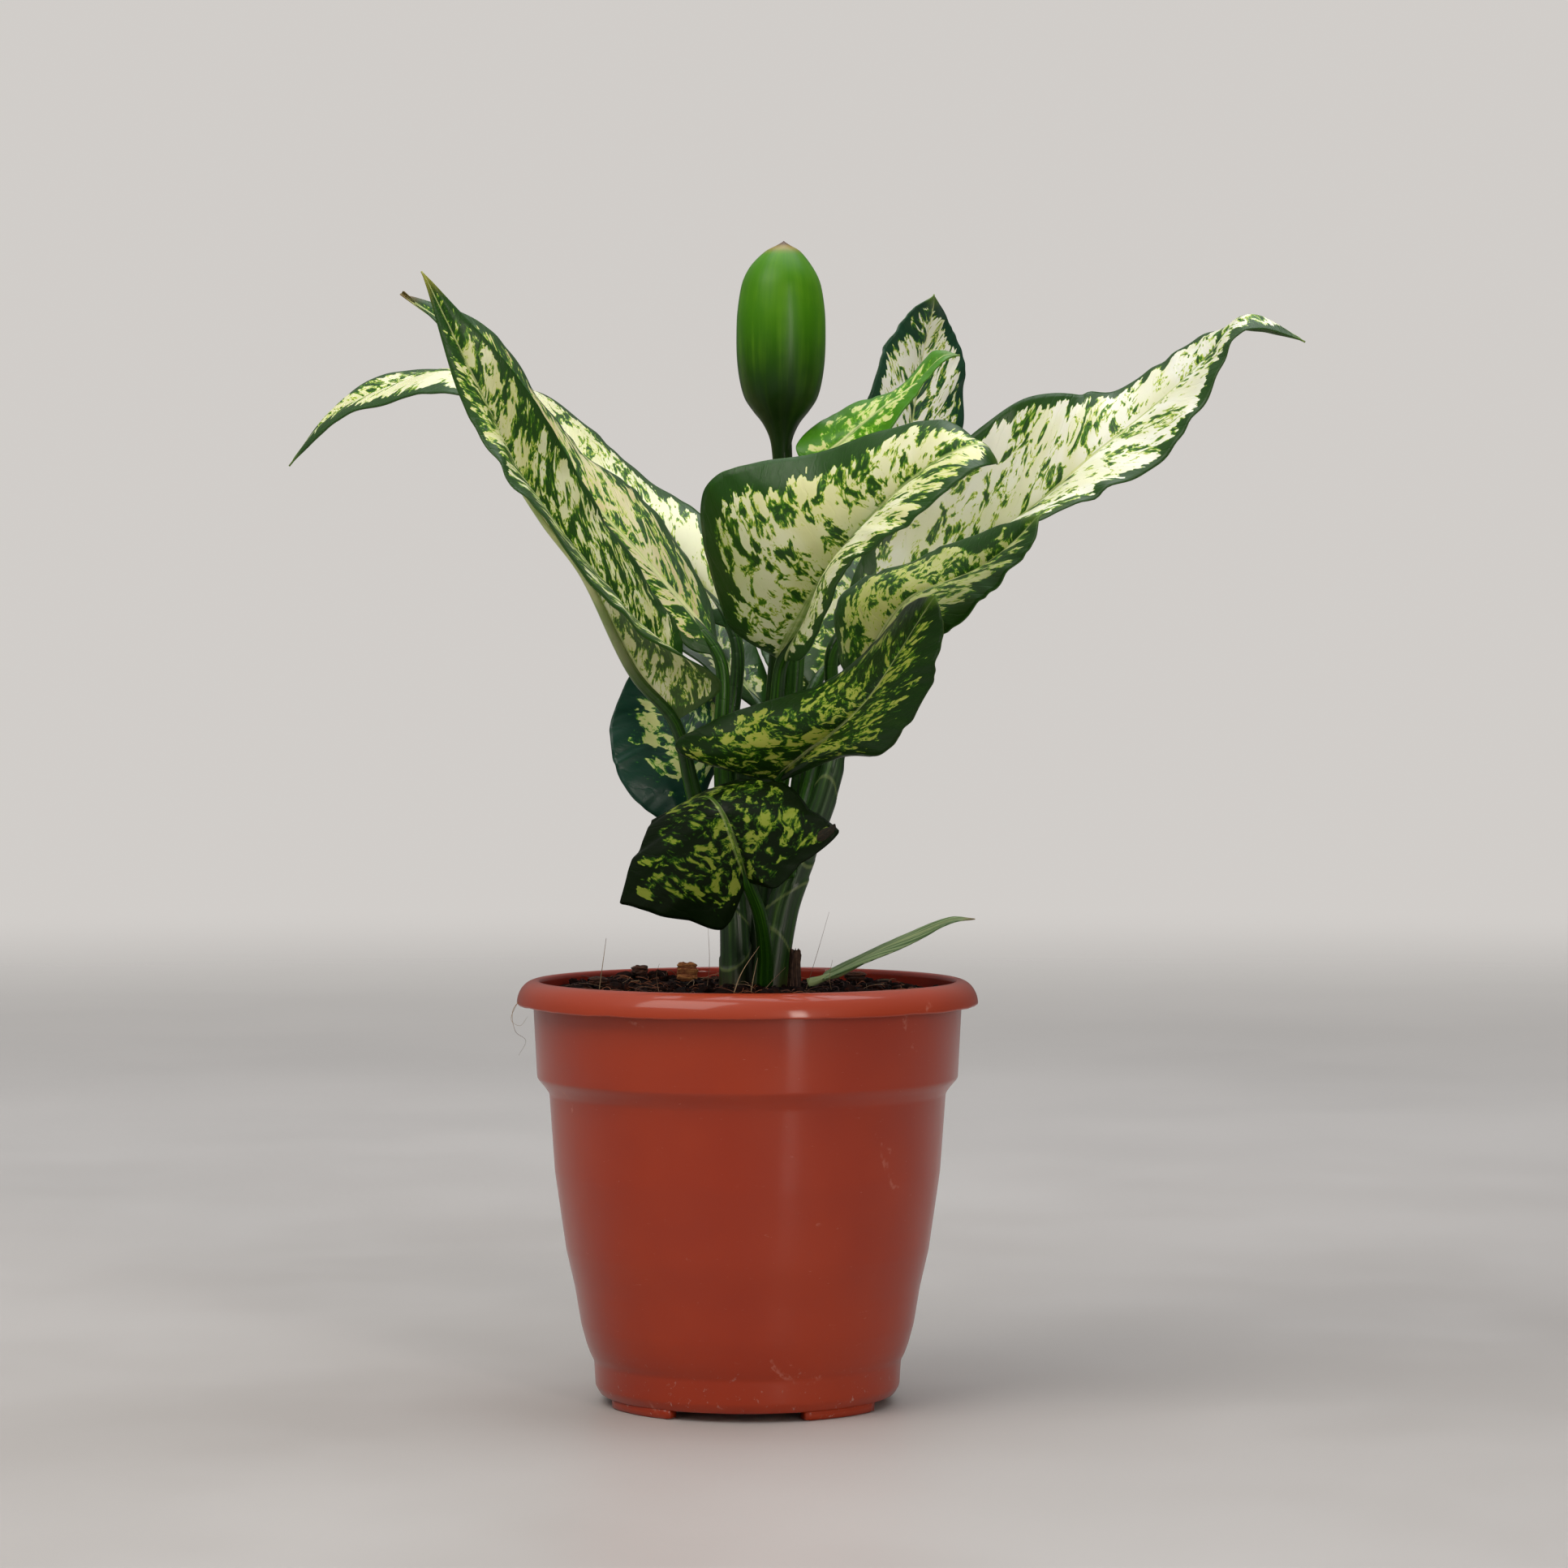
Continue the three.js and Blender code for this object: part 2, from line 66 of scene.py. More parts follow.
# ---------------------------------------------------------------- colours and node trees
def srgb(code, alpha=1.0):
    """A colour written as #rrggbb, in the linear numbers that shaders take."""
    parts = [int(code[i:i + 2], 16) / 255 for i in (1, 3, 5)]
    return tuple(c / 12.92 if c <= 0.04045 else ((c + 0.055) / 1.055) ** 2.4 for c in parts) + (alpha,)


class Value:
    """One number, vector or colour in a node tree. Arithmetic on it adds Math nodes."""

    def __init__(self, nodes, socket):
        self.nodes, self.socket = nodes, socket

    def maths(self, operation, *others):
        return self.nodes.node("ShaderNodeMath", {"operation": operation}, dict(enumerate((self, *others))))

    def __add__(self, other):
        return self.maths("ADD", other)

    def __mul__(self, other):
        return self.maths("MULTIPLY", other)

    def __sub__(self, other):
        return self.maths("SUBTRACT", other)

    def __truediv__(self, other):
        return self.maths("DIVIDE", other)

    def __pow__(self, other):
        return self.maths("POWER", other)

    def __rsub__(self, other):
        return self.nodes.node("ShaderNodeMath", {"operation": "SUBTRACT"}, {0: other, 1: self})

    def __rtruediv__(self, other):
        return self.nodes.node("ShaderNodeMath", {"operation": "DIVIDE"}, {0: other, 1: self})

    __radd__, __rmul__ = __add__, __mul__

    def size(self):
        return self.maths("ABSOLUTE")

    def side(self):
        return self.maths("SIGN")

    def ease(self, low, high, start=0.0, end=1.0):
        """Goes smoothly from start to end as this value goes from low to high."""
        return self.nodes.node("ShaderNodeMapRange", {"interpolation_type": "SMOOTHSTEP"},
                               {"Value": self, "From Min": low, "From Max": high, "To Min": start,
                                "To Max": end})


class Nodes:
    """A node tree that is filled through one method."""

    def __init__(self, tree):
        self.tree = tree
        tree.nodes.clear()

    def node(self, kind, settings=(), sockets=(), out=0):
        node = self.tree.nodes.new(kind)
        for key, setting in dict(settings).items():
            if key == "stops":
                ramp = node.color_ramp
                for place, _ in setting[2:]:
                    ramp.elements.new(place)
                for element, (place, colour) in zip(ramp.elements, setting):
                    element.position, element.color = place, colour
            else:
                setattr(node, key, setting)
        for key, value in dict(sockets).items():
            if isinstance(value, Value):
                self.tree.links.new(value.socket, node.inputs[key])
            else:
                node.inputs[key].default_value = value
        return Value(self, node.outputs[out]) if node.outputs else None


class Finish(Nodes):
    """A material whose tree ends in one Principled shader."""

    def __init__(self, name):
        self.material = bpy.data.materials.new(name)
        self.material.use_nodes = True
        super().__init__(self.material.node_tree)

    def attribute(self, name):
        return self.node("ShaderNodeAttribute", {"attribute_name": name}, out=2)

    def place(self):
        return self.node("ShaderNodeTexCoord", out=3)

    def split(self, vector):
        node = self.node("ShaderNodeSeparateXYZ", sockets={0: vector}).socket.node
        return [Value(self, output) for output in node.outputs]

    def vector(self, x=0.0, y=0.0, z=0.0):
        return self.node("ShaderNodeCombineXYZ", sockets={0: x, 1: y, 2: z})

    def stretch(self, vector, x, y, z):
        return self.node("ShaderNodeMapping", sockets={"Vector": vector, "Scale": (x, y, z)})

    def noise(self, vector, scale=1.0, detail=2.0, roughness=0.5, distortion=0.0):
        return self.node("ShaderNodeTexNoise", sockets={"Vector": vector, "Scale": scale, "Detail": detail,
                                                        "Roughness": roughness, "Distortion": distortion})

    def cells(self, vector, scale=1.0, feature="F1"):
        return self.node("ShaderNodeTexVoronoi", {"feature": feature}, {"Vector": vector, "Scale": scale})

    def ramp(self, value, *stops):
        return self.node("ShaderNodeValToRGB", {"stops": stops}, {0: value})

    def mix(self, first, second, share, way="MIX"):
        return self.node("ShaderNodeMix", {"data_type": "RGBA", "blend_type": way},
                         {0: share, 6: first, 7: second}, out=2)

    def bump(self, height, distance_mm, strength=1.0, under=None):
        sockets = {"Height": height, "Distance": distance_mm * MM, "Strength": strength}
        if under is not None:
            sockets["Normal"] = under
        return self.node("ShaderNodeBump", sockets=sockets)

    def shade(self, **sockets):
        names = {key.replace("_", " ").title().replace("Ior", "IOR"): value for key, value in sockets.items()}
        shader = self.node("ShaderNodeBsdfPrincipled", sockets=names)
        self.node("ShaderNodeOutputMaterial", sockets={"Surface": shader})
        return self.material


# ---------------------------------------------------------------- curves and meshes
def smooth(low, high, x):
    k = np.clip((np.asarray(x, float) - low) / (high - low), 0, 1)
    return k * k * (3 - 2 * k)


def unit(v):
    return v / np.maximum(np.linalg.norm(v, axis=-1, keepdims=True), 1e-9)


def dot(a, b):
    return np.sum(a * b, axis=-1, keepdims=True)


class Track:
    """A smooth curve through points, each at its own knot; knots go from 0 to 1."""

    def __init__(self, points, knots=None):
        self.points = np.array(points, float)
        steps = np.linalg.norm(np.diff(self.points, axis=0), axis=1)
        self.length = steps.sum()
        if knots is None:
            knots = np.concatenate([[0], np.cumsum(steps)]) / self.length
        self.knots = np.array(knots, float)
        count = np.arange(len(self.points))
        before, after = np.maximum(count - 1, 0), np.minimum(count + 1, len(self.points) - 1)
        span = (self.knots[after] - self.knots[before])[:, None]
        self.slopes = (self.points[after] - self.points[before]) / span

    def at(self, t):
        t = np.clip(np.atleast_1d(np.asarray(t, float)), 0, 1)
        i = np.clip(np.searchsorted(self.knots, t, side="right") - 1, 0, len(self.knots) - 2)
        span = self.knots[i + 1] - self.knots[i]
        k = ((t - self.knots[i]) / span)[:, None]
        span = span[:, None]
        return (self.points[i] * (2 * k**3 - 3 * k**2 + 1) + self.slopes[i] * (k**3 - 2 * k**2 + k) * span
                + self.points[i + 1] * (3 * k**2 - 2 * k**3) + self.slopes[i + 1] * (k**3 - k**2) * span)

    def ahead(self, t):
        t = np.asarray(t, float)
        return unit(self.at(t + 1e-3) - self.at(t - 1e-3))


def ripple(x, seed, octaves=3):
    """A smooth wander between about -1 and 1 that is the same on each run."""
    x = np.asarray(x, float)
    total = sum(np.sin(x * 1.9**k + seed * (1.7 + k) + 2.1 * np.sin(x * 0.53 * 1.7**k + seed * 3.1)) / 1.6**k
                for k in range(octaves))
    return total / 1.9


def skin(rows, columns, start=0, wrap=False):
    """The quads between the rows of a grid of points; wrap closes each row into a ring."""
    r, c = np.arange(rows - 1)[:, None], np.arange(columns if wrap else columns - 1)[None, :]
    a = start + r * columns + c
    b = start + r * columns + (c + 1) % columns
    return np.stack([a, b, b + columns, a + columns], axis=-1).reshape(-1, 4).tolist()


def enclosed(points, faces):
    """The volume inside the faces, below zero where they point inwards."""
    total = 0.0
    for corners in set(map(len, faces)):
        same = np.array([face for face in faces if len(face) == corners])
        for j in range(1, corners - 1):
            a, b, c = points[same[:, 0]], points[same[:, j]], points[same[:, j + 1]]
            total += np.sum(a * np.cross(b, c))
    return total / 6


def tube(rings):
    """A closed body through rings of points, an array of ring, side and place."""
    count, sides, _ = rings.shape
    faces = skin(count, sides, wrap=True)
    faces += [list(range(sides))[::-1], list(range((count - 1) * sides, count * sides))]
    return rings.reshape(-1, 3), faces


def sheet_body(upper, lower):
    """A closed thin body between two grids of points of the same shape."""
    rows, columns, _ = upper.shape
    count = rows * columns
    faces = skin(rows, columns)
    faces += [[i + count for i in face[::-1]] for face in faces]
    edge = ([c for c in range(columns)] + [r * columns + columns - 1 for r in range(1, rows)]
            + [(rows - 1) * columns + c for c in range(columns - 2, -1, -1)]
            + [r * columns for r in range(rows - 2, 0, -1)])
    faces += [[b, a, a + count, b + count] for a, b in zip(edge, edge[1:] + edge[:1])]
    return np.concatenate([upper.reshape(-1, 3), lower.reshape(-1, 3)]), faces


class Body:
    """Points in millimetres from the pot's axis, their faces, and a number or more at each point."""

    def __init__(self):
        self.points, self.faces, self.marks = [], [], {}
        self.count = 0

    def add(self, points, faces, **marks):
        if enclosed(points, faces) < 0:
            faces = [face[::-1] for face in faces]
        self.faces += [[i + self.count for i in face] for face in faces]
        self.points.append(points)
        for key, values in marks.items():
            values = np.asarray(values, float).ravel()
            if len(values) == 1:
                values = np.broadcast_to(values, len(points))
            self.marks.setdefault(key, []).append(values)
        self.count += len(points)
        return self

    def piece(self, name, material, slot, *nodes, flat=False):
        mesh = bpy.data.meshes.new(name)
        places = np.concatenate(self.points) * MM + POT_AXIS
        mesh.from_pydata(places.tolist(), [], self.faces)
        for key, values in self.marks.items():
            mesh.attributes.new(key, "FLOAT", "POINT").data.foreach_set("value", np.concatenate(values))
        return settle(name, mesh, material, slot, *nodes, flat=flat)


def settle(name, mesh, material, slot, *nodes, flat=False):
    """A finished piece: it rides on the body, stands for its CAD nodes and has its finish."""
    mesh.polygons.foreach_set("use_smooth", [not flat] * len(mesh.polygons))
    mesh.materials.clear()
    mesh.materials.append(material)
    mesh.update()
    made = bpy.data.objects.new(name, mesh)
    bpy.context.scene.collection.objects.link(made)
    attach(made, "root")
    if nodes:
        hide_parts(*nodes)
    return made


# ---------------------------------------------------------------- geometry node trees
class Grower(Nodes):
    """A geometry node tree with named inputs, run once on a mesh."""

    def __init__(self, name, **inputs):
        tree = bpy.data.node_groups.new(name, "GeometryNodeTree")
        super().__init__(tree)
        kinds = {float: "NodeSocketFloat", int: "NodeSocketInt", bpy.types.Material: "NodeSocketMaterial"}
        tree.interface.new_socket("Geometry", in_out="INPUT", socket_type="NodeSocketGeometry")
        for key, value in inputs.items():
            kind = next(socket for sort, socket in kinds.items() if isinstance(value, sort))
            tree.interface.new_socket(key, in_out="INPUT", socket_type=kind)
        tree.interface.new_socket("Geometry", in_out="OUTPUT", socket_type="NodeSocketGeometry")
        self.inputs = inputs
        self.group = tree.nodes.new("NodeGroupInput")

    def given(self, name="Geometry"):
        return Value(self, self.group.outputs[name])

    def random(self, low, high, seed, kind="FLOAT"):
        shift = 0 if kind == "FLOAT_VECTOR" else 2
        return self.node("FunctionNodeRandomValue", {"data_type": kind},
                         {shift: low, shift + 1: high, "Seed": seed}, out=0 if kind == "FLOAT_VECTOR" else 1)

    def finish(self, geometry):
        real = self.node("GeometryNodeRealizeInstances", sockets={0: geometry})
        painted = self.node("GeometryNodeSetMaterial",
                            sockets={"Geometry": real, "Material": self.given("Material")})
        self.node_out(painted)

    def node_out(self, value):
        end = self.tree.nodes.new("NodeGroupOutput")
        self.tree.links.new(value.socket, end.inputs[0])

    def run(self, mesh):
        base = bpy.data.objects.new(self.tree.name, mesh)
        bpy.context.scene.collection.objects.link(base)
        modifier = base.modifiers.new("grow", "NODES")
        modifier.node_group = self.tree
        for item in self.tree.interface.items_tree:
            if item.in_out == "INPUT" and item.name in self.inputs:
                modifier[item.identifier] = self.inputs[item.name]
        base.update_tag()
        graph = bpy.context.evaluated_depsgraph_get()
        grown = bpy.data.meshes.new_from_object(base.evaluated_get(graph), depsgraph=graph)
        base.modifiers.remove(modifier)
        bpy.data.objects.remove(base)
        return grown


# ---------------------------------------------------------------- the camera and the light
def aim(kind, data, place, target=None, turn=None):
    made = bpy.data.objects.new(kind, data)
    bpy.context.scene.collection.objects.link(made)
    made.location = place
    if target is None:
        made.rotation_euler = turn
    else:
        made.rotation_euler = (Vector(target) - Vector(place)).to_track_quat("-Z", "Y").to_euler()
    return made


CAMERA_AWAY, CAMERA_HEIGHT, LENS = 1.560, 0.2447, 103.55
camera = bpy.data.cameras.new("camera")
camera.lens, camera.sensor_width, camera.clip_end = LENS, 36, 50
bpy.context.scene.camera = aim(
    "camera", camera, (POT_AXIS[0], POT_AXIS[1] - CAMERA_AWAY, CAMERA_HEIGHT),
    turn=(math.radians(90 - 1.14), 0, math.radians(-0.464)))


def soft_box(name, place, target, width, height, power, colour, spread=180):
    """A soft light aimed at a target; a spread in degrees below 180 keeps it off the floor before it."""
    light = bpy.data.lights.new(name, "AREA")
    light.spread = math.radians(spread)
    light.shape, light.size, light.size_y = "RECTANGLE", width, height
    light.energy, light.color = power, colour[:3]
    aim(name, light, place, target)


MIDDLE = (POT_AXIS[0], POT_AXIS[1], 0.22)
soft_box("window", (-0.7, -0.75, 1.4), MIDDLE, 1.0, 1.0, 13, srgb("#fff9f2"))
soft_box("overhead", (0.15, 0.25, 1.7), MIDDLE, 1.5, 1.2, 17, srgb("#f8faff"))
soft_box("front_window", (0.95, -2.1, 0.72), MIDDLE, 0.3, 1.3, 1.3, srgb("#fff4ea"), spread=50)

world = bpy.data.worlds.new("studio")
world.use_nodes = True
sky = Nodes(world.node_tree)
seen = sky.node("ShaderNodeBackground", sockets={"Color": srgb("#d9d5d1"), "Strength": 0.92})
way = sky.node("ShaderNodeSeparateXYZ", sockets={0: sky.node("ShaderNodeTexCoord")})
across, _, upwards = [Value(sky, output) for output in way.socket.node.outputs]
cast = sky.node("ShaderNodeBackground", sockets={
    "Color": srgb("#e2e0de"), "Strength": upwards.ease(-0.1, 0.9, 0.16, 0.6) - across * 0.06})
straight = sky.node("ShaderNodeLightPath")
sky.node("ShaderNodeOutputWorld", sockets={
    "Surface": sky.node("ShaderNodeMixShader", sockets={0: straight, 1: cast, 2: seen})})
bpy.context.scene.world = world
bpy.context.scene.view_settings.view_transform = "Standard"


def floor():
    """A plain pale floor whose edge melts into the studio behind it."""
    rings = [0.0, 0.5, 1.5, 3.0, 6.0]
    sides = 96
    turn = np.linspace(0, 2 * np.pi, sides, endpoint=False)
    points = np.concatenate([np.stack([r * np.cos(turn), r * np.sin(turn), 0 * turn], -1) for r in rings[1:]])
    mesh = bpy.data.meshes.new("floor")
    faces = [list(range(sides))] + skin(len(rings) - 1, sides, wrap=True)
    mesh.from_pydata(points.tolist(), [], faces)
    made = bpy.data.objects.new("floor", mesh)
    bpy.context.scene.collection.objects.link(made)
    paint = Finish("studio_floor")
    x, y, z = paint.split(paint.place())
    away = (x * x + y * y).maths("SQRT")
    cloud = paint.noise(paint.place(), 2.2, 4, 0.6)
    stone = paint.mix(srgb("#b4b0ac"), srgb("#bdbab7"), cloud.ease(0.35, 0.65))
    stone = paint.mix(stone, srgb("#d6d3d0"), away.ease(0.25, 1.2))
    shader = paint.node("ShaderNodeBsdfPrincipled", sockets={
        "Base Color": stone, "Roughness": cloud.ease(0.3, 0.7, 0.34, 0.48)})
    clear = paint.node("ShaderNodeBsdfTransparent")
    end = paint.node("ShaderNodeMixShader", sockets={0: away.ease(0.9, 3.6), 1: shader, 2: clear})
    paint.node("ShaderNodeOutputMaterial", sockets={"Surface": end})
    mesh.materials.append(paint.material)


floor()


# ---------------------------------------------------------------- finishes
def leaf_finish(name, length, seed, cream=0.5, margin=4.0, rib=1.6, rib_light=0.6, warm=0.3, deep="#20460f",
                middle="#467f12", fleck="#bccb52", pale="#e6e8c4", shade="#cfd084", tip="#5b7a2c", run=1.0,
                lean=VEIN_LEAN, shine=0.28, rib_show=0.85, wide_left=1.0, wide_right=1.0):
    """Cream leaf flecked with green along its side veins, with a dark margin and a light rib."""
    leaf = Finish(name)
    along, across, edge = (leaf.attribute(key) for key in ("along", "across", "edge"))
    under, stalk = leaf.attribute("under"), leaf.attribute("stalk")
    out = across.size()
    half = across.side() * 31
    vein = along - out * lean - out * out * VEIN_CURVE
    patches = leaf.noise(leaf.vector(vein / (13 * run) + half, out / (16 * run), seed), 1, 2, 0.6, 1.2)
    flecks = leaf.noise(leaf.vector(vein / (6.2 * run) + half, out / (8.4 * run), seed + 5.3),
                        1, 4, 0.66, 1.4)
    grain = leaf.noise(leaf.vector(vein / 1.5 + half, out / 2.6, seed + 9.1), 1, 2, 0.6, 0.5)
    fingers = leaf.noise(leaf.vector(vein / 5.5 + half, out / 12, seed + 3.7), 1, 3, 0.65)
    wide = (across.ease(-6, 6, wide_right, wide_left) - 1) * along.ease(length * 0.5, length * 0.95, 1, 0) + 1
    reach = fingers.ease(0.3, 0.72, margin * 0.5, margin * 2.2) * wide
    band = (edge / reach).ease(0.55, 1.25, 1, 0)
    near_tip = along.ease(length * 0.72, length * 1.02)
    green = patches * 0.40 + flecks * 0.48 + grain * 0.12 + band * 0.30 + near_tip * 0.05 - (cream - 0.5)
    warmth = leaf.noise(leaf.vector(vein / 22 + half, out / 26, seed + 1.9), 1, 1)
    warmth = warmth.ease(0.35, 0.65, warm - 0.3, warm + 0.3)
    light = leaf.mix(srgb(pale), srgb(shade), warmth.maths("MAXIMUM", 0))
    tone = leaf.ramp(green, (0.0, (0, 0, 0, 1)), (0.476, (0, 0, 0, 1)), (0.497, (0.33, 0.33, 0.33, 1)),
                     (0.513, (0.64, 0.64, 0.64, 1)), (0.555, (1, 1, 1, 1)))
    blade = leaf.mix(light, srgb(fleck), tone.ease(0, 0.35))
    blade = leaf.mix(blade, srgb(middle), tone.ease(0.3, 0.7))
    blade = leaf.mix(blade, srgb(deep), tone.ease(0.6, 1.0))
    streaks = leaf.noise(leaf.vector(along / 26, across / 0.9, seed + 2.2), 1, 2, 0.6)
    rib_half = along.ease(-2, length * 0.9, rib, rib * 0.22)
    on_rib = (out / rib_half).ease(0.7, 1.15, 1, 0)
    rib_tone = leaf.mix(srgb("#6f9a35"), srgb("#dfe3a4"),
                        streaks.ease(0.35, 0.65, rib_light - 0.35, rib_light + 0.35))
    blade = leaf.mix(blade, rib_tone, on_rib * rib_show)
    stripes = leaf.noise(leaf.vector(along / 60, leaf.attribute("around") * 9, seed + 4.4), 1, 2, 0.65)
    stem_tone = leaf.mix(srgb("#17370a"), srgb("#3a6a16"), stripes.ease(0.4, 0.75))
    stem_tone = leaf.mix(stem_tone, rib_tone, along.ease(5, 80))
    colour = leaf.mix(blade, stem_tone, stalk)
    lower = leaf.mix(colour, srgb("#8fa060"), 0.12)
    colour = leaf.mix(colour, lower, under)
    colour = leaf.mix(colour, srgb(tip), along.ease(length - 9, length - 1, 0, 0.85))
    groove = (vein / VEIN_SPACING + fingers * 1.6 + patches * 1.2).maths("PINGPONG", 0.5) * 2
    pucker = groove.ease(0, 0.35) * 0.35 + grain * 0.3 + flecks * 0.5 + patches * 0.6
    skin_bump = leaf.bump(pucker, 0.28, 0.55)
    fine = leaf.bump(leaf.noise(leaf.place(), 1900, 2), 0.03, 0.5, skin_bump)
    gloss = flecks.ease(0.3, 0.7, 0.30, 0.42) + band * 0.03 + under * 0.12
    return leaf.shade(base_color=colour, roughness=gloss, normal=fine, subsurface_weight=0.12,
                      subsurface_radius=(0.5, 0.9, 0.25), subsurface_scale=0.0016, specular_ior_level=shine)


def cane_finish():
    cane = Finish("green_cane")
    along, around, seam = (cane.attribute(key) for key in ("along", "around", "seam"))
    stripes = cane.noise(cane.vector(along / 70, around * 11, 2.3), 1, 3, 0.65)
    blur = cane.noise(cane.vector(along / 22, around * 4, 7.1), 1, 2)
    colour = cane.mix(srgb("#122e09"), srgb("#2d5714"), stripes.ease(0.35, 0.85))
    colour = cane.mix(colour, srgb("#5f8030"), (stripes * blur).ease(0.3, 0.46, 0, 0.3))
    colour = cane.mix(colour, srgb("#3c2a17"), along.ease(14, 0) * 0.65)
    colour = cane.mix(colour, srgb("#7f8f52"), seam.ease(0.3, 0.95, 0, 0.45))
    ridges = cane.bump(stripes, 0.35, 0.6)
    return cane.shade(base_color=colour, roughness=stripes.ease(0.3, 0.7, 0.36, 0.5), normal=ridges,
                      subsurface_weight=0.06, subsurface_radius=(0.4, 0.8, 0.2), subsurface_scale=0.0015)


def bud_finish():
    bud = Finish("green_bud")
    along, around = bud.attribute("along"), bud.attribute("around")
    streaks = bud.noise(bud.vector(along / 60, around * 14, 1.3), 1, 3, 0.6)
    blotch = bud.noise(bud.place(), 70, 2)
    # Dark green at the base going brighter towards the top: painted shade low on the bud and painted light on
    # its top.
    colour = bud.mix(srgb("#173e02"), srgb("#3f7a02"), along.ease(338, 384))
    colour = bud.mix(colour, srgb("#639a0c"), (streaks * 0.6 + blotch * 0.4).ease(0.44, 0.68, 0, 0.4))
    # The lower half of the bud is darkened nearly to black: painted shade under the bud.
    colour = bud.mix(colour, srgb("#0c2202"), along.ease(376, 338, 0, 0.9))
    colour = bud.mix(colour, srgb("#8a7a3a"), along.ease(396.5, 400))
    colour = bud.mix(colour, srgb("#4c2f18"), along.ease(399.4, 401.4))
    ribs = bud.bump(streaks, 0.10, 0.5)
    pores = bud.bump(bud.noise(bud.place(), 1500, 2), 0.02, 0.5, ribs)
    return bud.shade(base_color=colour, roughness=streaks.ease(0.3, 0.7, 0.3, 0.42), normal=pores,
                     subsurface_weight=0.06, subsurface_radius=(0.4, 0.9, 0.1), subsurface_scale=0.002,
                     specular_ior_level=0.22)


def pot_finish():
    """Semi-gloss moulded plastic with fine scratches and scuffs, a pinkish lip that is painted sheen, and a
    duller, redder inside whose colour is painted shade.
    """
    pot = Finish("terracotta_plastic")
    place = pot.place()
    x, y, z = pot.split(place)
    x, y = x - float(POT_AXIS[0]), y - float(POT_AXIS[1])
    away = (x * x + y * y).maths("SQRT") * 1000
    height = z * 1000
    cloud = pot.noise(place, 14, 3, 0.6)
    speck = pot.noise(place, 420, 3, 0.7)
    colour = pot.mix(srgb("#952903"), srgb("#9d2f05"), cloud.ease(0.35, 0.65))
    # The lip's band is tinted a lighter, pinkish red: painted sheen where the lip catches the light.
    lip = height.ease(137, 139) * away.ease(73, 75)
    colour = pot.mix(colour, srgb("#a03c22"), lip * 0.8)
    scratch_at = pot.stretch(place, 1, 1, 5.5)
    scratch = pot.noise(scratch_at, 260, 3, 0.75, 0.4).ease(0.69, 0.74)
    scuff = (pot.noise(place, 55, 2, 0.5, 1.2).ease(0.70, 0.76)) * speck.ease(0.42, 0.62)
    colour = pot.mix(colour, srgb("#e0a08c"), scratch * 0.22 + scuff * 0.25)
    dust = speck.ease(0.62, 0.74) * height.ease(24, 4) * 0.4
    colour = pot.mix(colour, srgb("#c9b8aa"), dust)
    # The inner wall above the soil turns a duller, redder colour: painted shade in the recess under the rim.
    inside = away.ease(72.9, 72.2) * height.ease(134, 138)
    colour = pot.mix(colour, srgb("#8f2a1c"), inside * 0.85)
    gloss = cloud.ease(0.3, 0.7, 0.36, 0.46) + scuff * 0.25 + scratch * 0.2 + inside * 0.1 + dust * 0.5
    waves = pot.bump(pot.noise(pot.stretch(place, 1, 1, 0.35), 34, 2), 0.5, 0.25)
    fine = pot.bump(speck - scratch * 0.8, 0.03, 0.5, waves)
    return pot.shade(base_color=colour, roughness=gloss, normal=fine, coat_weight=0.5, coat_roughness=0.1,
                     specular_ior_level=0.2)


def soil_finish(name, dark="#080303", brown="#1a0b07", rust="#401509"):
    soil = Finish(name)
    place = soil.place()
    lumps = soil.noise(place, 210, 4, 0.65)
    grit = soil.cells(place, 520)
    crumbs = soil.noise(place, 900, 3, 0.7)
    colour = soil.mix(srgb(dark), srgb(brown), (lumps * 0.6 + crumbs * 0.4).ease(0.42, 0.62))
    rusty = (crumbs * 0.5 + soil.noise(place, 95, 3) * 0.5).ease(0.54, 0.66, 0, 0.7)
    colour = soil.mix(colour, srgb(rust), rusty)
    relief = soil.bump(lumps * 0.7 + grit * 0.3, 1.1, 0.9)
    fine = soil.bump(crumbs, 0.35, 0.8, relief)
    return soil.shade(base_color=colour, roughness=crumbs.ease(0.3, 0.7, 0.8, 0.98), normal=fine,
                      specular_ior_level=0.08)


def wood_finish(name, dark, light, ring=0.35):
    wood = Finish(name)
    along = wood.attribute("along")
    around = wood.attribute("around")
    fibres = wood.noise(wood.vector(along / 9, around * 14, 1.1), 1, 3, 0.7)
    chips = wood.noise(wood.place(), 600, 3, 0.65)
    colour = wood.mix(srgb(dark), srgb(light), (fibres * 0.65 + chips * 0.35).ease(0.42, 0.62))
    colour = wood.mix(colour, srgb("#140b07"), chips.ease(0.56, 0.68, 0, 0.6))
    rough = wood.bump(fibres, 0.8, 0.9)
    fine = wood.bump(chips, 0.3, 0.7, rough)
    return wood.shade(base_color=colour, roughness=0.85, normal=fine, specular_ior_level=0.3)


def fibre_finish(name, dark, light):
    fibre = Finish(name)
    colour = fibre.mix(srgb(dark), srgb(light), fibre.noise(fibre.place(), 45, 2).ease(0.4, 0.6))
    ribs = fibre.bump(fibre.noise(fibre.place(), 1200, 2), 0.05, 0.5)
    return fibre.shade(base_color=colour, roughness=0.7, normal=ribs)


# ---------------------------------------------------------------- leaves
LEAF_ROWS, LEAF_COLUMNS, RIB_RINGS, RIB_SIDES = 150, 57, 96, 16


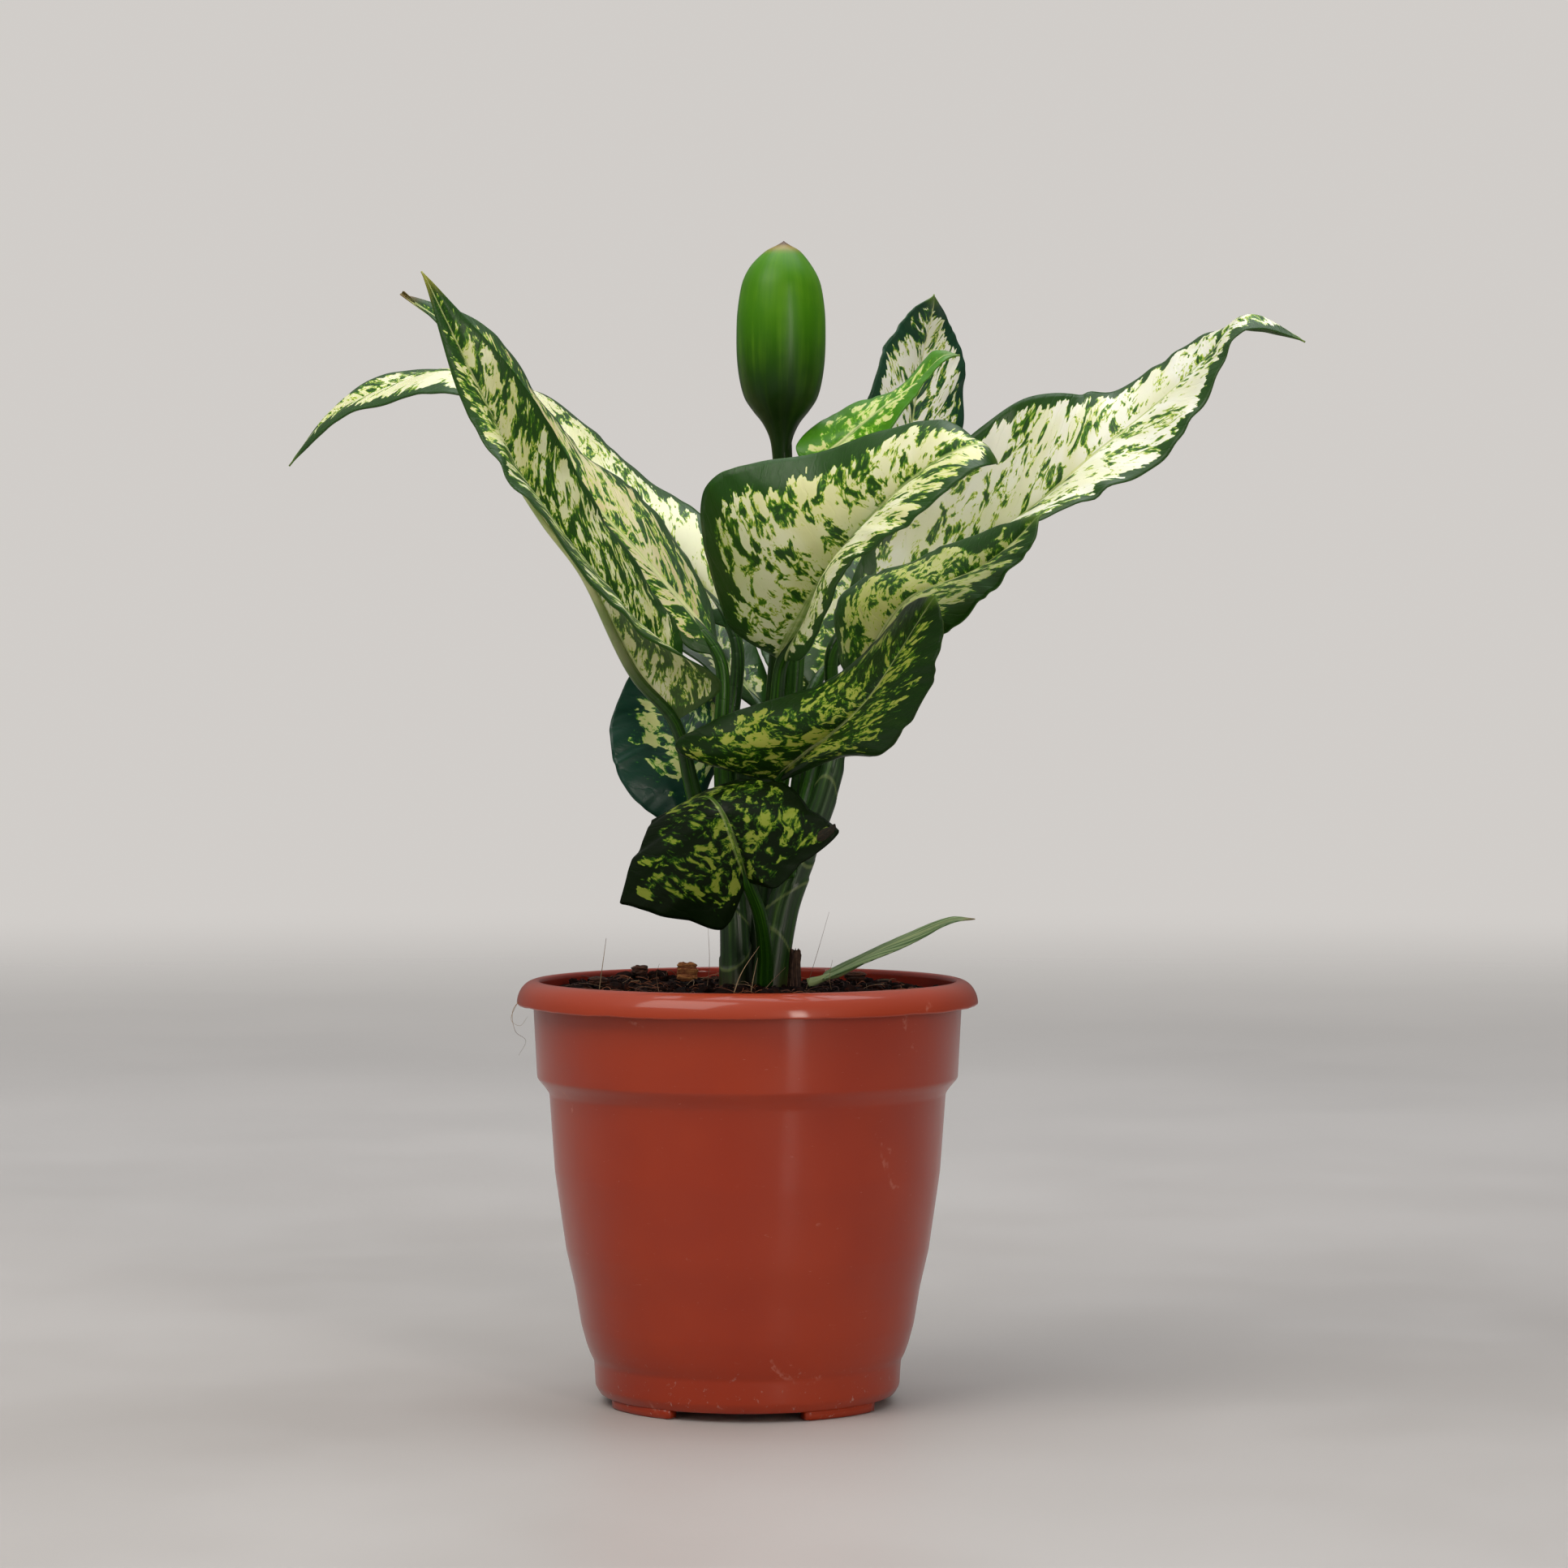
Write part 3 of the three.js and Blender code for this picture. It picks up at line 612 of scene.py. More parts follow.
def leaf_body(shape, bow=0.06, wave=1.2, waves=3.2, seed=1.0, relief=0.06, crease=1.0, sheath=0.45,
              points=()):
    """A blade between its two margins, and the stalk that runs on under it as the rib."""
    stalk, rib = shape["stalk"], shape["rib"]
    radius, thickness = shape.get("radius", STALK_RADIUS), shape.get("thickness", LEAF_THICKNESS)
    midline = Track(stalk + rib)
    base = midline.knots[len(stalk)]
    margins = [Track([rib[0], *shape[side], rib[-1]], MARGIN_STATIONS) for side in ("left", "right")]

    def frame_at(t):
        u = np.clip((t - base) / (1 - base), 0.02, 0.99)
        middle = midline.at(base + (1 - base) * u)
        to_left, to_right = (margin.at(u) - middle for margin in margins)
        forward = midline.ahead(t)
        over = unit(to_left) - unit(to_right)
        over = unit(over - forward * dot(over, forward))
        return forward, over, np.cross(forward, over)

    s = np.linspace(0, 1, LEAF_ROWS)
    u = s - 0.07 * np.sin(2 * np.pi * s)
    u = 0.001 + u * 0.998
    t = base + (1 - base) * u
    middle, (forward, over, up) = midline.at(t), frame_at(t)
    to_left, to_right = (margin.at(u) - middle for margin in margins)
    for side, place, reach_out, narrow in points:  # where a margin runs out to a small point
        half = to_left if side == "left" else to_right
        half += unit(half) * (reach_out * np.exp(-(np.abs(u - place) / narrow) ** 1.3))[:, None]
    spread = np.linspace(-1, 1, LEAF_COLUMNS)
    v = np.sign(spread) * np.abs(spread) ** 1.4
    left_up = unit(np.cross(forward, to_left))
    right_up = unit(np.cross(to_right, forward))
    lean = smooth(-0.35, 0.35, v)[None, :, None]
    normal = unit(left_up[:, None] * lean + right_up[:, None] * (1 - lean))
    reach = np.where((v > 0)[None, :, None], to_left[:, None], to_right[:, None])
    width = np.linalg.norm(reach, axis=-1)
    out = width * np.abs(v)
    along = u[:, None] * (1 - base) * midline.length + 0 * out
    vein = along - out * VEIN_LEAN - out * out * VEIN_CURVE
    calm = np.sin(np.pi * np.clip(u, 0, 1))[:, None]
    lift = bow * 4 * np.abs(v) * (1 - np.abs(v)) * width
    sway = np.where(v > 0, ripple(u[:, None] * waves * 6.3, seed),
                    ripple(u[:, None] * waves * 6.3, seed + 4.7))
    lift = lift + wave * sway * np.abs(v) ** 2.5 * calm
    lift = (lift + 0.45 * wave * ripple(vein / 9.0 + 0.02 * out, seed + 8.0, 2)
            * smooth(0.1, 0.6, np.abs(v)) * calm)
    lift = (lift - relief * (np.abs(np.cos(np.pi * vein / VEIN_SPACING)) ** 6)
            * smooth(1, 6, out) * smooth(0, 5, width - out))
    lift = lift - crease * 0.5 * np.exp(-(out / 1.7) ** 2) * smooth(0.02, 0.1, u)[:, None]
    surface = middle[:, None] + reach * np.abs(v)[None, :, None] + normal * lift[..., None]
    slab = normal * (thickness * 0.5 * (1 - 0.45 * np.abs(v)))[None, :, None]
    slab = slab * np.minimum(width / 2.0, 1)[..., None].clip(0.15, 1)
    points, faces = sheet_body(surface + slab, surface - slab)
    across = out * np.sign(v)[None, :]
    twice = lambda values: np.concatenate([values.ravel()] * 2)
    body = Body().add(points, faces, along=twice(along), across=twice(across), edge=twice(width - out),
                      under=np.repeat([0.0, 1.0], out.size), stalk=0.0, around=0.0)

    t = np.linspace(0, 1, RIB_RINGS)
    u = np.clip((t - base) / (1 - base), 0, 1)
    forward, over, up = frame_at(t)
    swell = 1 + sheath * smooth(1.0, 0.0, t / base) if base > 0.05 else 1.0
    thick = radius * (1 - 0.86 * u**0.8) * swell
    drop = thick * 0.9 * smooth(0.0, 0.12, u) + 0.35 * smooth(0.0, 0.1, u)
    centre = midline.at(t) - up * drop[:, None]
    angle = np.linspace(0, 2 * np.pi, RIB_SIDES, endpoint=False)
    rings = (centre[:, None] + over[:, None] * (np.cos(angle)[None, :, None] * thick[:, None, None])
             + up[:, None] * (np.sin(angle)[None, :, None] * thick[:, None, None]))
    length = (t - base) * midline.length
    points, faces = tube(rings)
    body.add(points, faces, along=np.repeat(length, RIB_SIDES),
             across=np.tile(np.cos(angle), RIB_RINGS) * 0.5,
             edge=20.0, under=0.0, stalk=1.0, around=np.tile(np.abs(angle - np.pi) / np.pi, RIB_RINGS))
    return body, (1 - base) * midline.length


LEAVES = {
    "leaf_left_tall": {
        "stalk": [[-13, 4, 190], [-19, 0, 212]],
        "rib": [[-25, -8, 235], [-39, -18, 256], [-54, -36, 286], [-67, -48, 303], [-77, -58, 319],
                [-86, -66, 340], [-95, -70, 359], [-107, -72, 384]],
        "left": [[-9, -22, 248], [-37, -66, 267], [-71, -88, 307], [-93, -76, 339]],
        "right": [[-23, 2, 262], [-33, -6, 281], [-55, -32, 315], [-77, -64, 351]],
    },
    "leaf_left_upper": {
        "stalk": [[-8, 3.4, 204], [-9, 4, 232]],
        "rib": [[-10, 6, 258], [-31, 12, 286], [-56, 16, 314], [-77, 18, 343], [-98, 20, 368],
                [-121, 20, 385]],
        "left": [[-22, 4, 262], [-48, 2, 292], [-74, 6, 325], [-104, 10, 366]],
        "right": [[-14, 24, 279], [-35, 38, 311], [-64, 42, 337], [-92, 32, 374]],
    },
    "leaf_left_far": {
        "stalk": [[-8, 16.4, 198], [-6, 23, 232]],
        "rib": [[-5, 30, 267], [-35, 46, 302], [-57, 58, 326], [-79, 70, 346], [-106, 82, 362],
                [-134, 92, 356],
        [-155, 98, 345], [-169, 102, 329]],
        "left": [[-22, 28, 276], [-51, 36, 320], [-98, 56, 350], [-143, 82, 347]],
        "right": [[-8, 46, 299], [-40, 78, 326], [-79, 100, 356], [-136, 106, 362]],
    },
    "leaf_front_large": {
        "stalk": [[8.5, 6, 216], [10, 2, 238]],
        "rib": [[12, -5, 256], [22, -32, 274], [32, -55, 290], [42, -74, 303], [52, -90, 313],
                [65, -102, 322],
        [76, -108, 325], [81, -108, 319]],
        "left": [[-7, -8, 270], [-14, -47, 314], [23, -58, 325], [63, -88, 334]],
        "right": [[20, -28, 258], [32, -86, 284], [49, -112, 298], [72, -118, 316]],
    },
    "leaf_centre_young": {
        "stalk": [[14.4, 10, 222], [18, 7, 270]],
        "rib": [[22, 1, 320], [34, 2, 333], [47, 1, 344], [59, -1, 353], [67, -3, 361], [73, -5, 362]],
        "left": [[17, 4, 331], [33, 14, 344], [53, 12, 351], [64, 3, 363]],
        "right": [[28, -5, 320], [42, -10, 327], [56, -11, 345], [66, -8, 358]],
        "radius": 2.2,
    },
    "leaf_right_large": {
        "stalk": [[29.5, 10.4, 217], [30, 14, 240]],
        "rib": [[31, 16, 263], [59, 26, 285], [95, 32, 306], [122, 32, 329], [143, 28, 346], [161, 20, 363],
        [174, 12, 377], [193, 0, 367]],
        "left": [[42, 22, 296], [92, 32, 346], [130, 46, 353], [168, 32, 373]],
        "right": [[50, 6, 274], [97, 0, 304], [145, -2, 327], [171, 0, 369]],
    },
    "leaf_right_upright": {
        "stalk": [[19, 7.8, 200], [28, 23, 232], [39, 34, 260]],
        "rib": [[47, 42, 284], [55, 52, 313], [59, 60, 342], [63, 64, 366], [66, 62, 380], [67, 54, 387]],
        "left": [[37, 36, 301], [40, 38, 335], [47, 46, 364], [58, 54, 381]],
        "right": [[61, 56, 305], [76, 72, 332], [78, 74, 364], [72, 68, 380]],
    },
    "leaf_right_low": {
        "stalk": [[31.5, 2.5, 227.5], [34, -3, 237]],
        "rib": [[37, -8, 246], [44, -22, 262], [55, -38, 277], [76, -56, 286], [88, -70, 295],
                [96, -78, 304]],
        "left": [[32, 3, 258], [33, -2, 280], [57, -21, 291], [82, -54, 300]],
        "right": [[46, -28, 250], [62, -60, 262], [78, -78, 277], [93, -83, 293]],
    },
    "leaf_front_low": {
        "stalk": [[13.8, -8.2, 182], [11, -12, 200]],
        "rib": [[10, -15, 214], [20, -32, 225], [28, -44, 231], [39, -62, 242], [47, -78, 254],
                [56, -90, 269],
        [61, -94, 277]],
        "left": [[-24, -25, 225], [-6, -28, 238], [30, -34, 251], [53, -71, 274]],
        "right": [[30, -45, 223], [46, -80, 226], [59, -98, 247], [63, -100, 267]],
    },
    "leaf_front_lowest": {
        "stalk": [[6, -12, SOIL_TOP], [6, -16, 155], [4, -26, 170]],
        "rib": [[0, -34, 181], [-4, -42, 193], [-8, -46, 204], [-13, -40, 210], [-21, -28, 208],
                [-28, -20, 202]],
        "left": [[-10, -32, 164], [-40, -34, 176], [-34, -30, 198], [-28, -24, 203]],
        "right": [[12, -48, 180], [30, -48, 198], [10, -36, 214], [-14, -28, 212]],
    },
    "leaf_back_left": {
        "stalk": [[-12.6, 9.4, 168], [-14.6, 11.6, 188]],
        "rib": [[-16, 13, 204], [-20, 15, 219], [-26, 22, 233], [-32, 30, 246], [-38, 34, 257]],
        "left": [[-24, 8, 199], [-42, 6, 211], [-48, 12, 231], [-43, 24, 248]],
        "right": [[-13, 20, 214], [-4, 41, 233], [-12, 50, 246], [-26, 44, 255]],
    },
    "leaf_rear_right": {
        "stalk": [[12.4, 13.3, 172], [16, 17, 196], [19, 25, 222]],
        "rib": [[23, 33, 246], [40, 50, 272], [54, 74, 290], [68, 98, 298], [78, 120, 294]],
        "left": [[17, 42, 259], [24, 64, 290], [44, 92, 306], [64, 112, 302]],
        "right": [[36, 42, 258], [60, 54, 278], [74, 82, 296], [82, 106, 298]],
    },
    "leaf_rear_left": {
        "stalk": [[-1.2, 17, 186], [2, 28, 214]],
        "rib": [[5, 36, 238], [-12, 52, 260], [-28, 72, 280], [-43, 94, 294], [-57, 116, 298]],
        "left": [[-8, 34, 248], [-34, 54, 270], [-52, 80, 292], [-59, 104, 298]],
        "right": [[8, 48, 248], [-6, 72, 278], [-20, 94, 296], [-42, 110, 302]],
    },
    "leaf_rear_middle": {
        "stalk": [[9, 21.3, 200], [13, 25, 222]],
        "rib": [[16, 31, 242], [16, 52, 258], [15, 76, 270], [14, 98, 275], [12, 120, 270]],
        "left": [[10, 38, 249], [4, 60, 264], [2, 86, 280], [6, 108, 279]],
        "right": [[22, 38, 245], [31, 60, 261], [34, 88, 278], [25, 110, 278]],
    },
    "blade_of_grass": {
        "stalk": [[21, -9, SOIL_TOP]],
        "rib": [[26, -10, 147], [36, -11, 152], [48, -12, 158], [60, -13, 163], [70, -14, 167],
                [78, -15, 168]],
        "left": [[27, -7, 149], [37, -7, 154], [54, -10, 162], [69, -12, 168]],
        "right": [[27, -13, 147], [39, -15, 152], [56, -15, 159], [69, -16, 166]],
        "radius": 1.2,
        "thickness": 0.7,
    },
}
LEAF_LOOKS = {
    "leaf_left_tall": dict(seed=2.0, run=0.8, lean=1.5, bow=0.05, cream=0.488, margin=3.0, rib=1.7,
                           rib_light=0.75, warm=0.35,
                           tip="#8a8a2a"),
    "leaf_left_upper": dict(seed=3.4, points=[("left", 0.9, -4, 0.12)], run=0.85, lean=1.3, bow=0.06,
                            cream=0.495, margin=3.4, rib=1.5, rib_light=0.7, warm=0.6,
                            tip="#6b4a25", pale="#dedcb0", shade="#c8b884"),
    "leaf_left_far": dict(seed=5.2, lean=0.9, bow=0.05, cream=0.52, margin=3.6, rib=1.4, rib_light=0.7,
                          warm=0.1),
    "leaf_front_large": dict(seed=7.7, bow=0.10, cream=0.525, margin=2.6, wide_left=2.6, rib=3.4,
                             rib_light=0.45, warm=0.3),
    "leaf_centre_young": dict(seed=9.3, bow=0.06, cream=0.475, margin=3.0, rib=1.2, rib_light=0.6, warm=0.5,
                              deep="#427f10", middle="#63a01c", fleck="#b5cf62", pale="#d5e3a6", wave=0.5),
    "leaf_right_large": dict(seed=11.1, pale="#e9eada", bow=0.05, cream=0.535, margin=3.2, rib=1.4,
                             rib_light=0.7, warm=0.05,
                             wave=2.2),
    "leaf_right_upright": dict(seed=13.9, bow=0.05, cream=0.525, margin=2.6, rib=1.3, rib_light=0.8,
                               warm=0.05,
                               deep="#164028", middle="#33731f", pale="#f2f3e6"),
    "leaf_right_low": dict(seed=15.6, lean=0.5, bow=0.06, cream=0.495, margin=3.2, rib=1.8, rib_light=0.7,
                           warm=0.7,
                           wide_left=1.5, wide_right=2.0, pale="#d5d9a2", shade="#c3c67a"),
    # leaf_front_low and leaf_front_lowest take far darker greens, creams and ribs than the upper leaves:
    # painted shade for the low leaves under the others.
    "leaf_front_low": dict(seed=17.2, run=0.68, shine=0.14, bow=0.06, wide_right=2.3, cream=0.475, margin=4.0,
                           rib_show=0.5, rib=1.2, rib_light=0.75, warm=0.9,
                           deep="#16300a", middle="#356410", fleck="#7f9828", pale="#adb75c",
                           shade="#98a044"),
    "leaf_front_lowest": dict(seed=19.5, run=0.7, shine=0.1, bow=0.02, sheath=0.25, cream=0.46, margin=3.6,
                              rib=1.6, rib_light=0.2,
                              rib_show=0.35,
                              warm=0.9, wide_left=1.8,
                              points=[("left", 0.35, 4.5, 0.035), ("left", 0.2, -3, 0.08),
                                      ("right", 0.22, -4.5, 0.09),
                                      ("right", 0.36, 2, 0.03), ("right", 0.46, -4, 0.06),
                                      ("right", 0.66, 4, 0.14)],
                              deep="#0a1804", middle="#264c0a", fleck="#6a8220", pale="#96a348",
                              shade="#808e34"),
    "leaf_back_left": dict(seed=21.8, run=0.8, bow=0.06, cream=0.50, margin=4.0, wide_left=2.6, rib=1.2,
                           rib_light=0.7, warm=0.4,
                           deep="#123a2c", middle="#2b6a26", fleck="#8fb848", pale="#cfdc9e"),
    "leaf_rear_right": dict(seed=23.1, bow=0.06, cream=0.5, margin=4.0, warm=0.3),
    "leaf_rear_left": dict(seed=25.4, bow=0.06, cream=0.5, margin=4.0, warm=0.3),
    "leaf_rear_middle": dict(seed=27.7, bow=0.06, cream=0.5, margin=4.0, warm=0.3),
}
DARK_LEAVES = ("leaf_front_low", "leaf_front_lowest", "leaf_back_left")
BENDS = ("bow", "wave", "waves", "relief", "crease", "sheath", "points")

for name, look in LEAF_LOOKS.items():
    bends = {key: look.pop(key) for key in BENDS if key in look}
    body, length = leaf_body(LEAVES[name], seed=look["seed"], **bends)
    finish = leaf_finish("finish_" + name, length, **look)
    body.piece("live_" + name, finish, "dark_leaf" if name in DARK_LEAVES else "variegated_leaf", name)


def grass_leaf():
    """The narrow young leaf that leans over the pot's edge."""
    body, length = leaf_body(LEAVES["blade_of_grass"], bow=0.02, wave=0.1, relief=0, crease=0.3)
    grass = Finish("young_leaf")
    along, across = grass.attribute("along"), grass.attribute("across")
    streaks = grass.noise(grass.vector(along / 30, across / 0.5, 3.1), 1, 3, 0.65)
    colour = grass.mix(srgb("#3c6028"), srgb("#93a874"), streaks.ease(0.40, 0.62))
    colour = grass.mix(colour, srgb("#a8b57c"), across.size().ease(1.2, 0.2, 0, 0.5))
    colour = grass.mix(colour, srgb("#7a6a3c"), along.ease(length - 6, length))
    ribs = grass.bump(streaks, 0.15, 0.7)
    body.piece("live_blade_of_grass",
               grass.shade(base_color=colour, roughness=0.45, normal=ribs, subsurface_weight=0.08,
                           subsurface_radius=(0.4, 0.8, 0.2), subsurface_scale=0.001),
               "dark_leaf", "blade_of_grass")


grass_leaf()


# ---------------------------------------------------------------- canes, bud and wood
def swept(points, radius_at, rings, sides, side=(1, 0, 0)):
    """Rings round a track; radius_at(t, angle) is in millimetres. Also gives t and the angles."""
    track = Track(points)
    t = np.linspace(0, 1, rings)
    forward = track.ahead(t)
    over = unit(np.array(side, float) - forward * dot(forward, np.array(side, float)))
    up = np.cross(forward, over)
    angle = np.linspace(0, 2 * np.pi, sides, endpoint=False)
    size = radius_at(t[:, None], angle[None, :])[..., None]
    around = over[:, None] * np.cos(angle)[None, :, None] + up[:, None] * np.sin(angle)[None, :, None]
    return track.at(t)[:, None] + around * size, t, angle, track.length


CANES = {
    "cane_left": ([[-4, 5, SOIL_TOP - 5], [-5, 7, 170], [-8, 9, 195], [-10, 11, 212]], 5, 3.4, 1.0),
    "cane_middle": ([[3, 14, SOIL_TOP - 5], [5, 14, 175], [8, 14, 205], [9, 12, 228]], 4.6, 3.2, 2.6),
    "cane_right": ([[7, -2, SOIL_TOP - 5], [12, -1, 170], [18, 0, 187], [26, 1, 207], [31, 3, 224]],
                   5.4, 4.6, 4.1),
}


def cane(name, points, low, high, seed, finish):
    """A short cane wrapped in the sheaths of its leaves, each ending in a slanting thin edge."""
    tops = [0.2, 0.42, 0.62, 0.83]
    rings, sides = 150, 40

    def edges(angle):
        return [top + 0.075 * np.cos(angle - seed - 2.2 * i) for i, top in enumerate(tops)]

    def radius(t, angle):
        size = low + (high - low) * t + 0.12 * np.sin(7 * angle + seed) + 0.1 * np.sin(13 * angle + 2 * seed)
        for edge in edges(angle):
            size = size + 0.42 * smooth(0.012, -0.002, t - edge)
        return size - 0.7 - 0.9 * smooth(0.93, 1.0, t)

    points, t, angle, length = swept(points, radius, rings, sides)
    seam = sum(np.exp(-((t[:, None] - edge[None, :] + 0.006) / 0.011) ** 2) for edge in edges(angle))
    corners, faces = tube(points)
    Body().add(corners, faces, along=np.repeat(t * length, sides),
               around=np.tile(np.abs(angle - np.pi) / np.pi, rings), seam=seam).piece(
        "sheathed_" + name, finish, "green_cane", name)


green_cane = cane_finish()
for name, (points, low, high, seed) in CANES.items():
    cane(name, points, low, high, seed, green_cane)


def rolled(name, points, thickest, finish, slot, node):
    """A thin rolled end: a spear that narrows to a point at the top."""
    rings, sides = 60, 24

    def radius(t, angle):
        taper = np.clip(1 - t**3, 0, 1) ** 0.8 * (0.75 + 0.25 * np.sin(np.pi * t)) + 0.03
        return thickest * taper + 0.25 * np.sin(angle - 3 * t) * (1 - t)

    corners, t, angle, length = swept(points, radius, rings, sides)
    corners, faces = tube(corners)
    Body().add(corners, faces, along=np.repeat(t * length + 20, sides), around=np.tile(angle / np.pi, rings),
               seam=0.0).piece(name, finish, slot, node)


rolled("young_spear", [[0, 12, SOIL_TOP], [0, 12, 175], [-1, 12, 205], [0, 11, 240]], 5.2, green_cane,
       "green_cane", "cane_middle")
rolled("dry_curl", [[21, -44.8, 194.6], [24.5, -45.8, 196.4], [28, -46.6, 198.8], [29.4, -46.8, 201.2]], 3.1,
       wood_finish("dry_leaf", "#14140a", "#2c2414"), "dark_leaf", "leaf_front_lowest")


BUD_OUTLINE = [
    [3, 321], [3.3, 328], [4.2, 333.8], [6.5, 338.8], [9.7, 342.9], [12.6, 347.4], [14.3, 353.5],
    [15.3, 361.5], [15.5, 371], [15.2, 378], [14, 386], [12.6, 390], [10, 394.2], [6, 398.4],
    [2.6, 400.4], [0, 402],
]
BUD_AXIS = [11.8, 9]
BUD_STALK = [[9, 12, 229], [12, 11, 270], [12.8, 9.6, 310], [12.2, 9.1, 332]]


def bud():
    """The closed flower bud: a rolled hood whose edge winds round it, on a smooth stalk."""
    finish = bud_finish()
    outline = Track([[r, z, 0] for r, z in BUD_OUTLINE])
    rings, sides = 110, 80
    t = np.linspace(0, 1, rings)
    profile = outline.at(t)
    radius, height = np.maximum(profile[:, 0], 0.05), profile[:, 1]
    angle = np.linspace(0, 2 * np.pi, sides, endpoint=False)
    wind = (angle[None, :] - 1.1 - (height[:, None] - 334) * 0.028) % (2 * np.pi)
    lap = 0.35 * smooth(0, 0.10, wind) * (1 - wind / (2 * np.pi))
    size = radius[:, None] * (1 + 0.008 * ripple(angle[None, :] * 2 + height[:, None] * 0.03, 3.0))
    size = np.maximum(size - 0.2 + lap * smooth(0.5, 6, radius)[:, None], 0.03)
    lean = 1.5 * smooth(392, 402, height)
    points = np.stack([BUD_AXIS[0] + lean[:, None] * 0.55 + size * np.cos(angle),
                       BUD_AXIS[1] - lean[:, None] * 0.2 + size * np.sin(angle),
                       height[:, None] + 0 * size], axis=-1)
    corners, faces = tube(points)
    Body().add(corners, faces, along=np.repeat(height, sides), around=np.tile(angle / np.pi, rings)).piece(
        "hooded_flower_bud", finish, "green_bud", "flower_bud")
    rings, sides = 70, 36
    points, t, angle, length = swept(
        BUD_STALK,
        lambda t, a: 3.9 - 0.7 * smooth(0.2, 0.85, t) + 0.1 * np.sin(5 * a + 3 * t), rings, sides)
    corners, faces = tube(points)
    Body().add(corners, faces, along=np.repeat(229 + t * 106, sides),
               around=np.tile(angle / np.pi, rings)).piece(
        "smooth_bud_stalk", finish, "green_bud", "bud_stalk")


bud()


def dry_stub():
    """The broken end of an old cane, splintered at its top."""
    rings, sides = 34, 30
    points, t, angle, length = swept(
        [[16, -4, SOIL_TOP - 4], [16, -4, 150], [16.4, -4, 156]],
        lambda t, a: 2.35 - 0.3 * t + 0.22 * np.sin(6 * a + 1) + 0.16 * np.sin(11 * a + 5 * t), rings, sides)
    splinter = 1.7 * ripple(angle * 3.0, 2.0, 3)
    points[..., 2] += (smooth(0.55, 1.0, t)[:, None] * splinter[None, :])
    points[-1, :, :2] = points[-1, :, :2] * 0.82 + np.array([16.4, -4]) * 0.18
    corners, faces = tube(points)
    Body().add(corners, faces, along=np.repeat(t * length, sides),
               around=np.tile(np.abs(angle - np.pi) / np.pi, rings)).piece(
        "splintered_stub", wood_finish("dry_cane", "#2a1a14", "#5c4436"), "bark", "dry_stub", flat=True)


dry_stub()


def bark_chip(number, finish):
    """A torn chip of bark that fills its place on the soil."""
    node = f"bark_chip_{number}"
    low, high = (np.array(corner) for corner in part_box(node))
    middle, half = ((low + high) / 2 - POT_AXIS) / MM, (high - low) / 2 / MM
    rings, sides = 22, 26
    phi = np.linspace(0.02, math.pi - 0.02, rings)
    angle = np.linspace(0, 2 * np.pi, sides, endpoint=False)
    ball = np.stack([np.sin(phi)[:, None] * np.cos(angle), np.sin(phi)[:, None] * np.sin(angle),
                     np.cos(phi)[:, None] + 0 * angle], axis=-1)
    boxed = np.sign(ball) * np.abs(ball) ** 0.62
    tear = 1 + 0.12 * ripple(boxed[..., 0] * 5 + boxed[..., 2] * 9, number * 2.3)[..., None]
    layers = 0.12 * np.sign(np.sin(boxed[..., 2] * 9 + number))[..., None] * np.array([1, 1, 0])
    points = middle + boxed * half * 0.92 * (tear + layers * 0.4)
    corners, faces = tube(points[::-1])
    Body().add(corners, faces, along=corners[:, 0] + corners[:, 1] * 0.4, around=corners[:, 2] * 0.1).piece(
        "torn_" + node, finish, "bark", node, flat=True)


chip_light = wood_finish("bark_light", "#6a3a1e", "#a5713f")
chip_dark = wood_finish("bark_dark", "#2b1911", "#5a3524")
for number in (1, 2, 3, 4):
    bark_chip(number, chip_light if number == 1 else chip_dark)


# ---------------------------------------------------------------- the pot
BODY = [
    [51, 3], [52.8, 6], [53.3, 14.5], [54.6, 17], [55.9, 20.5], [57.7, 27],
    [59.9, 40], [62.9, 53], [66.8, 80], [68.8, 107], [70.5, 109.5],
]


def rounded(corners, cut, steps=4):
    """A closed outline with each corner cut back by up to that many millimetres and rounded."""
    corners = np.array(corners, float)
    out = []
    for i, corner in enumerate(corners):
        before, after = corners[i - 1] - corner, corners[(i + 1) % len(corners)] - corner
        if corner[0] < 0.01:
            out.append(corner)
            continue
        reach = min(cut, 0.42 * np.linalg.norm(before), 0.42 * np.linalg.norm(after))
        a, b = corner + unit(before) * reach, corner + unit(after) * reach
        for k in np.linspace(0, 1, steps):
            out.append(a * (1 - k) ** 2 + corner * 2 * k * (1 - k) + b * k * k)
    return np.array(out)


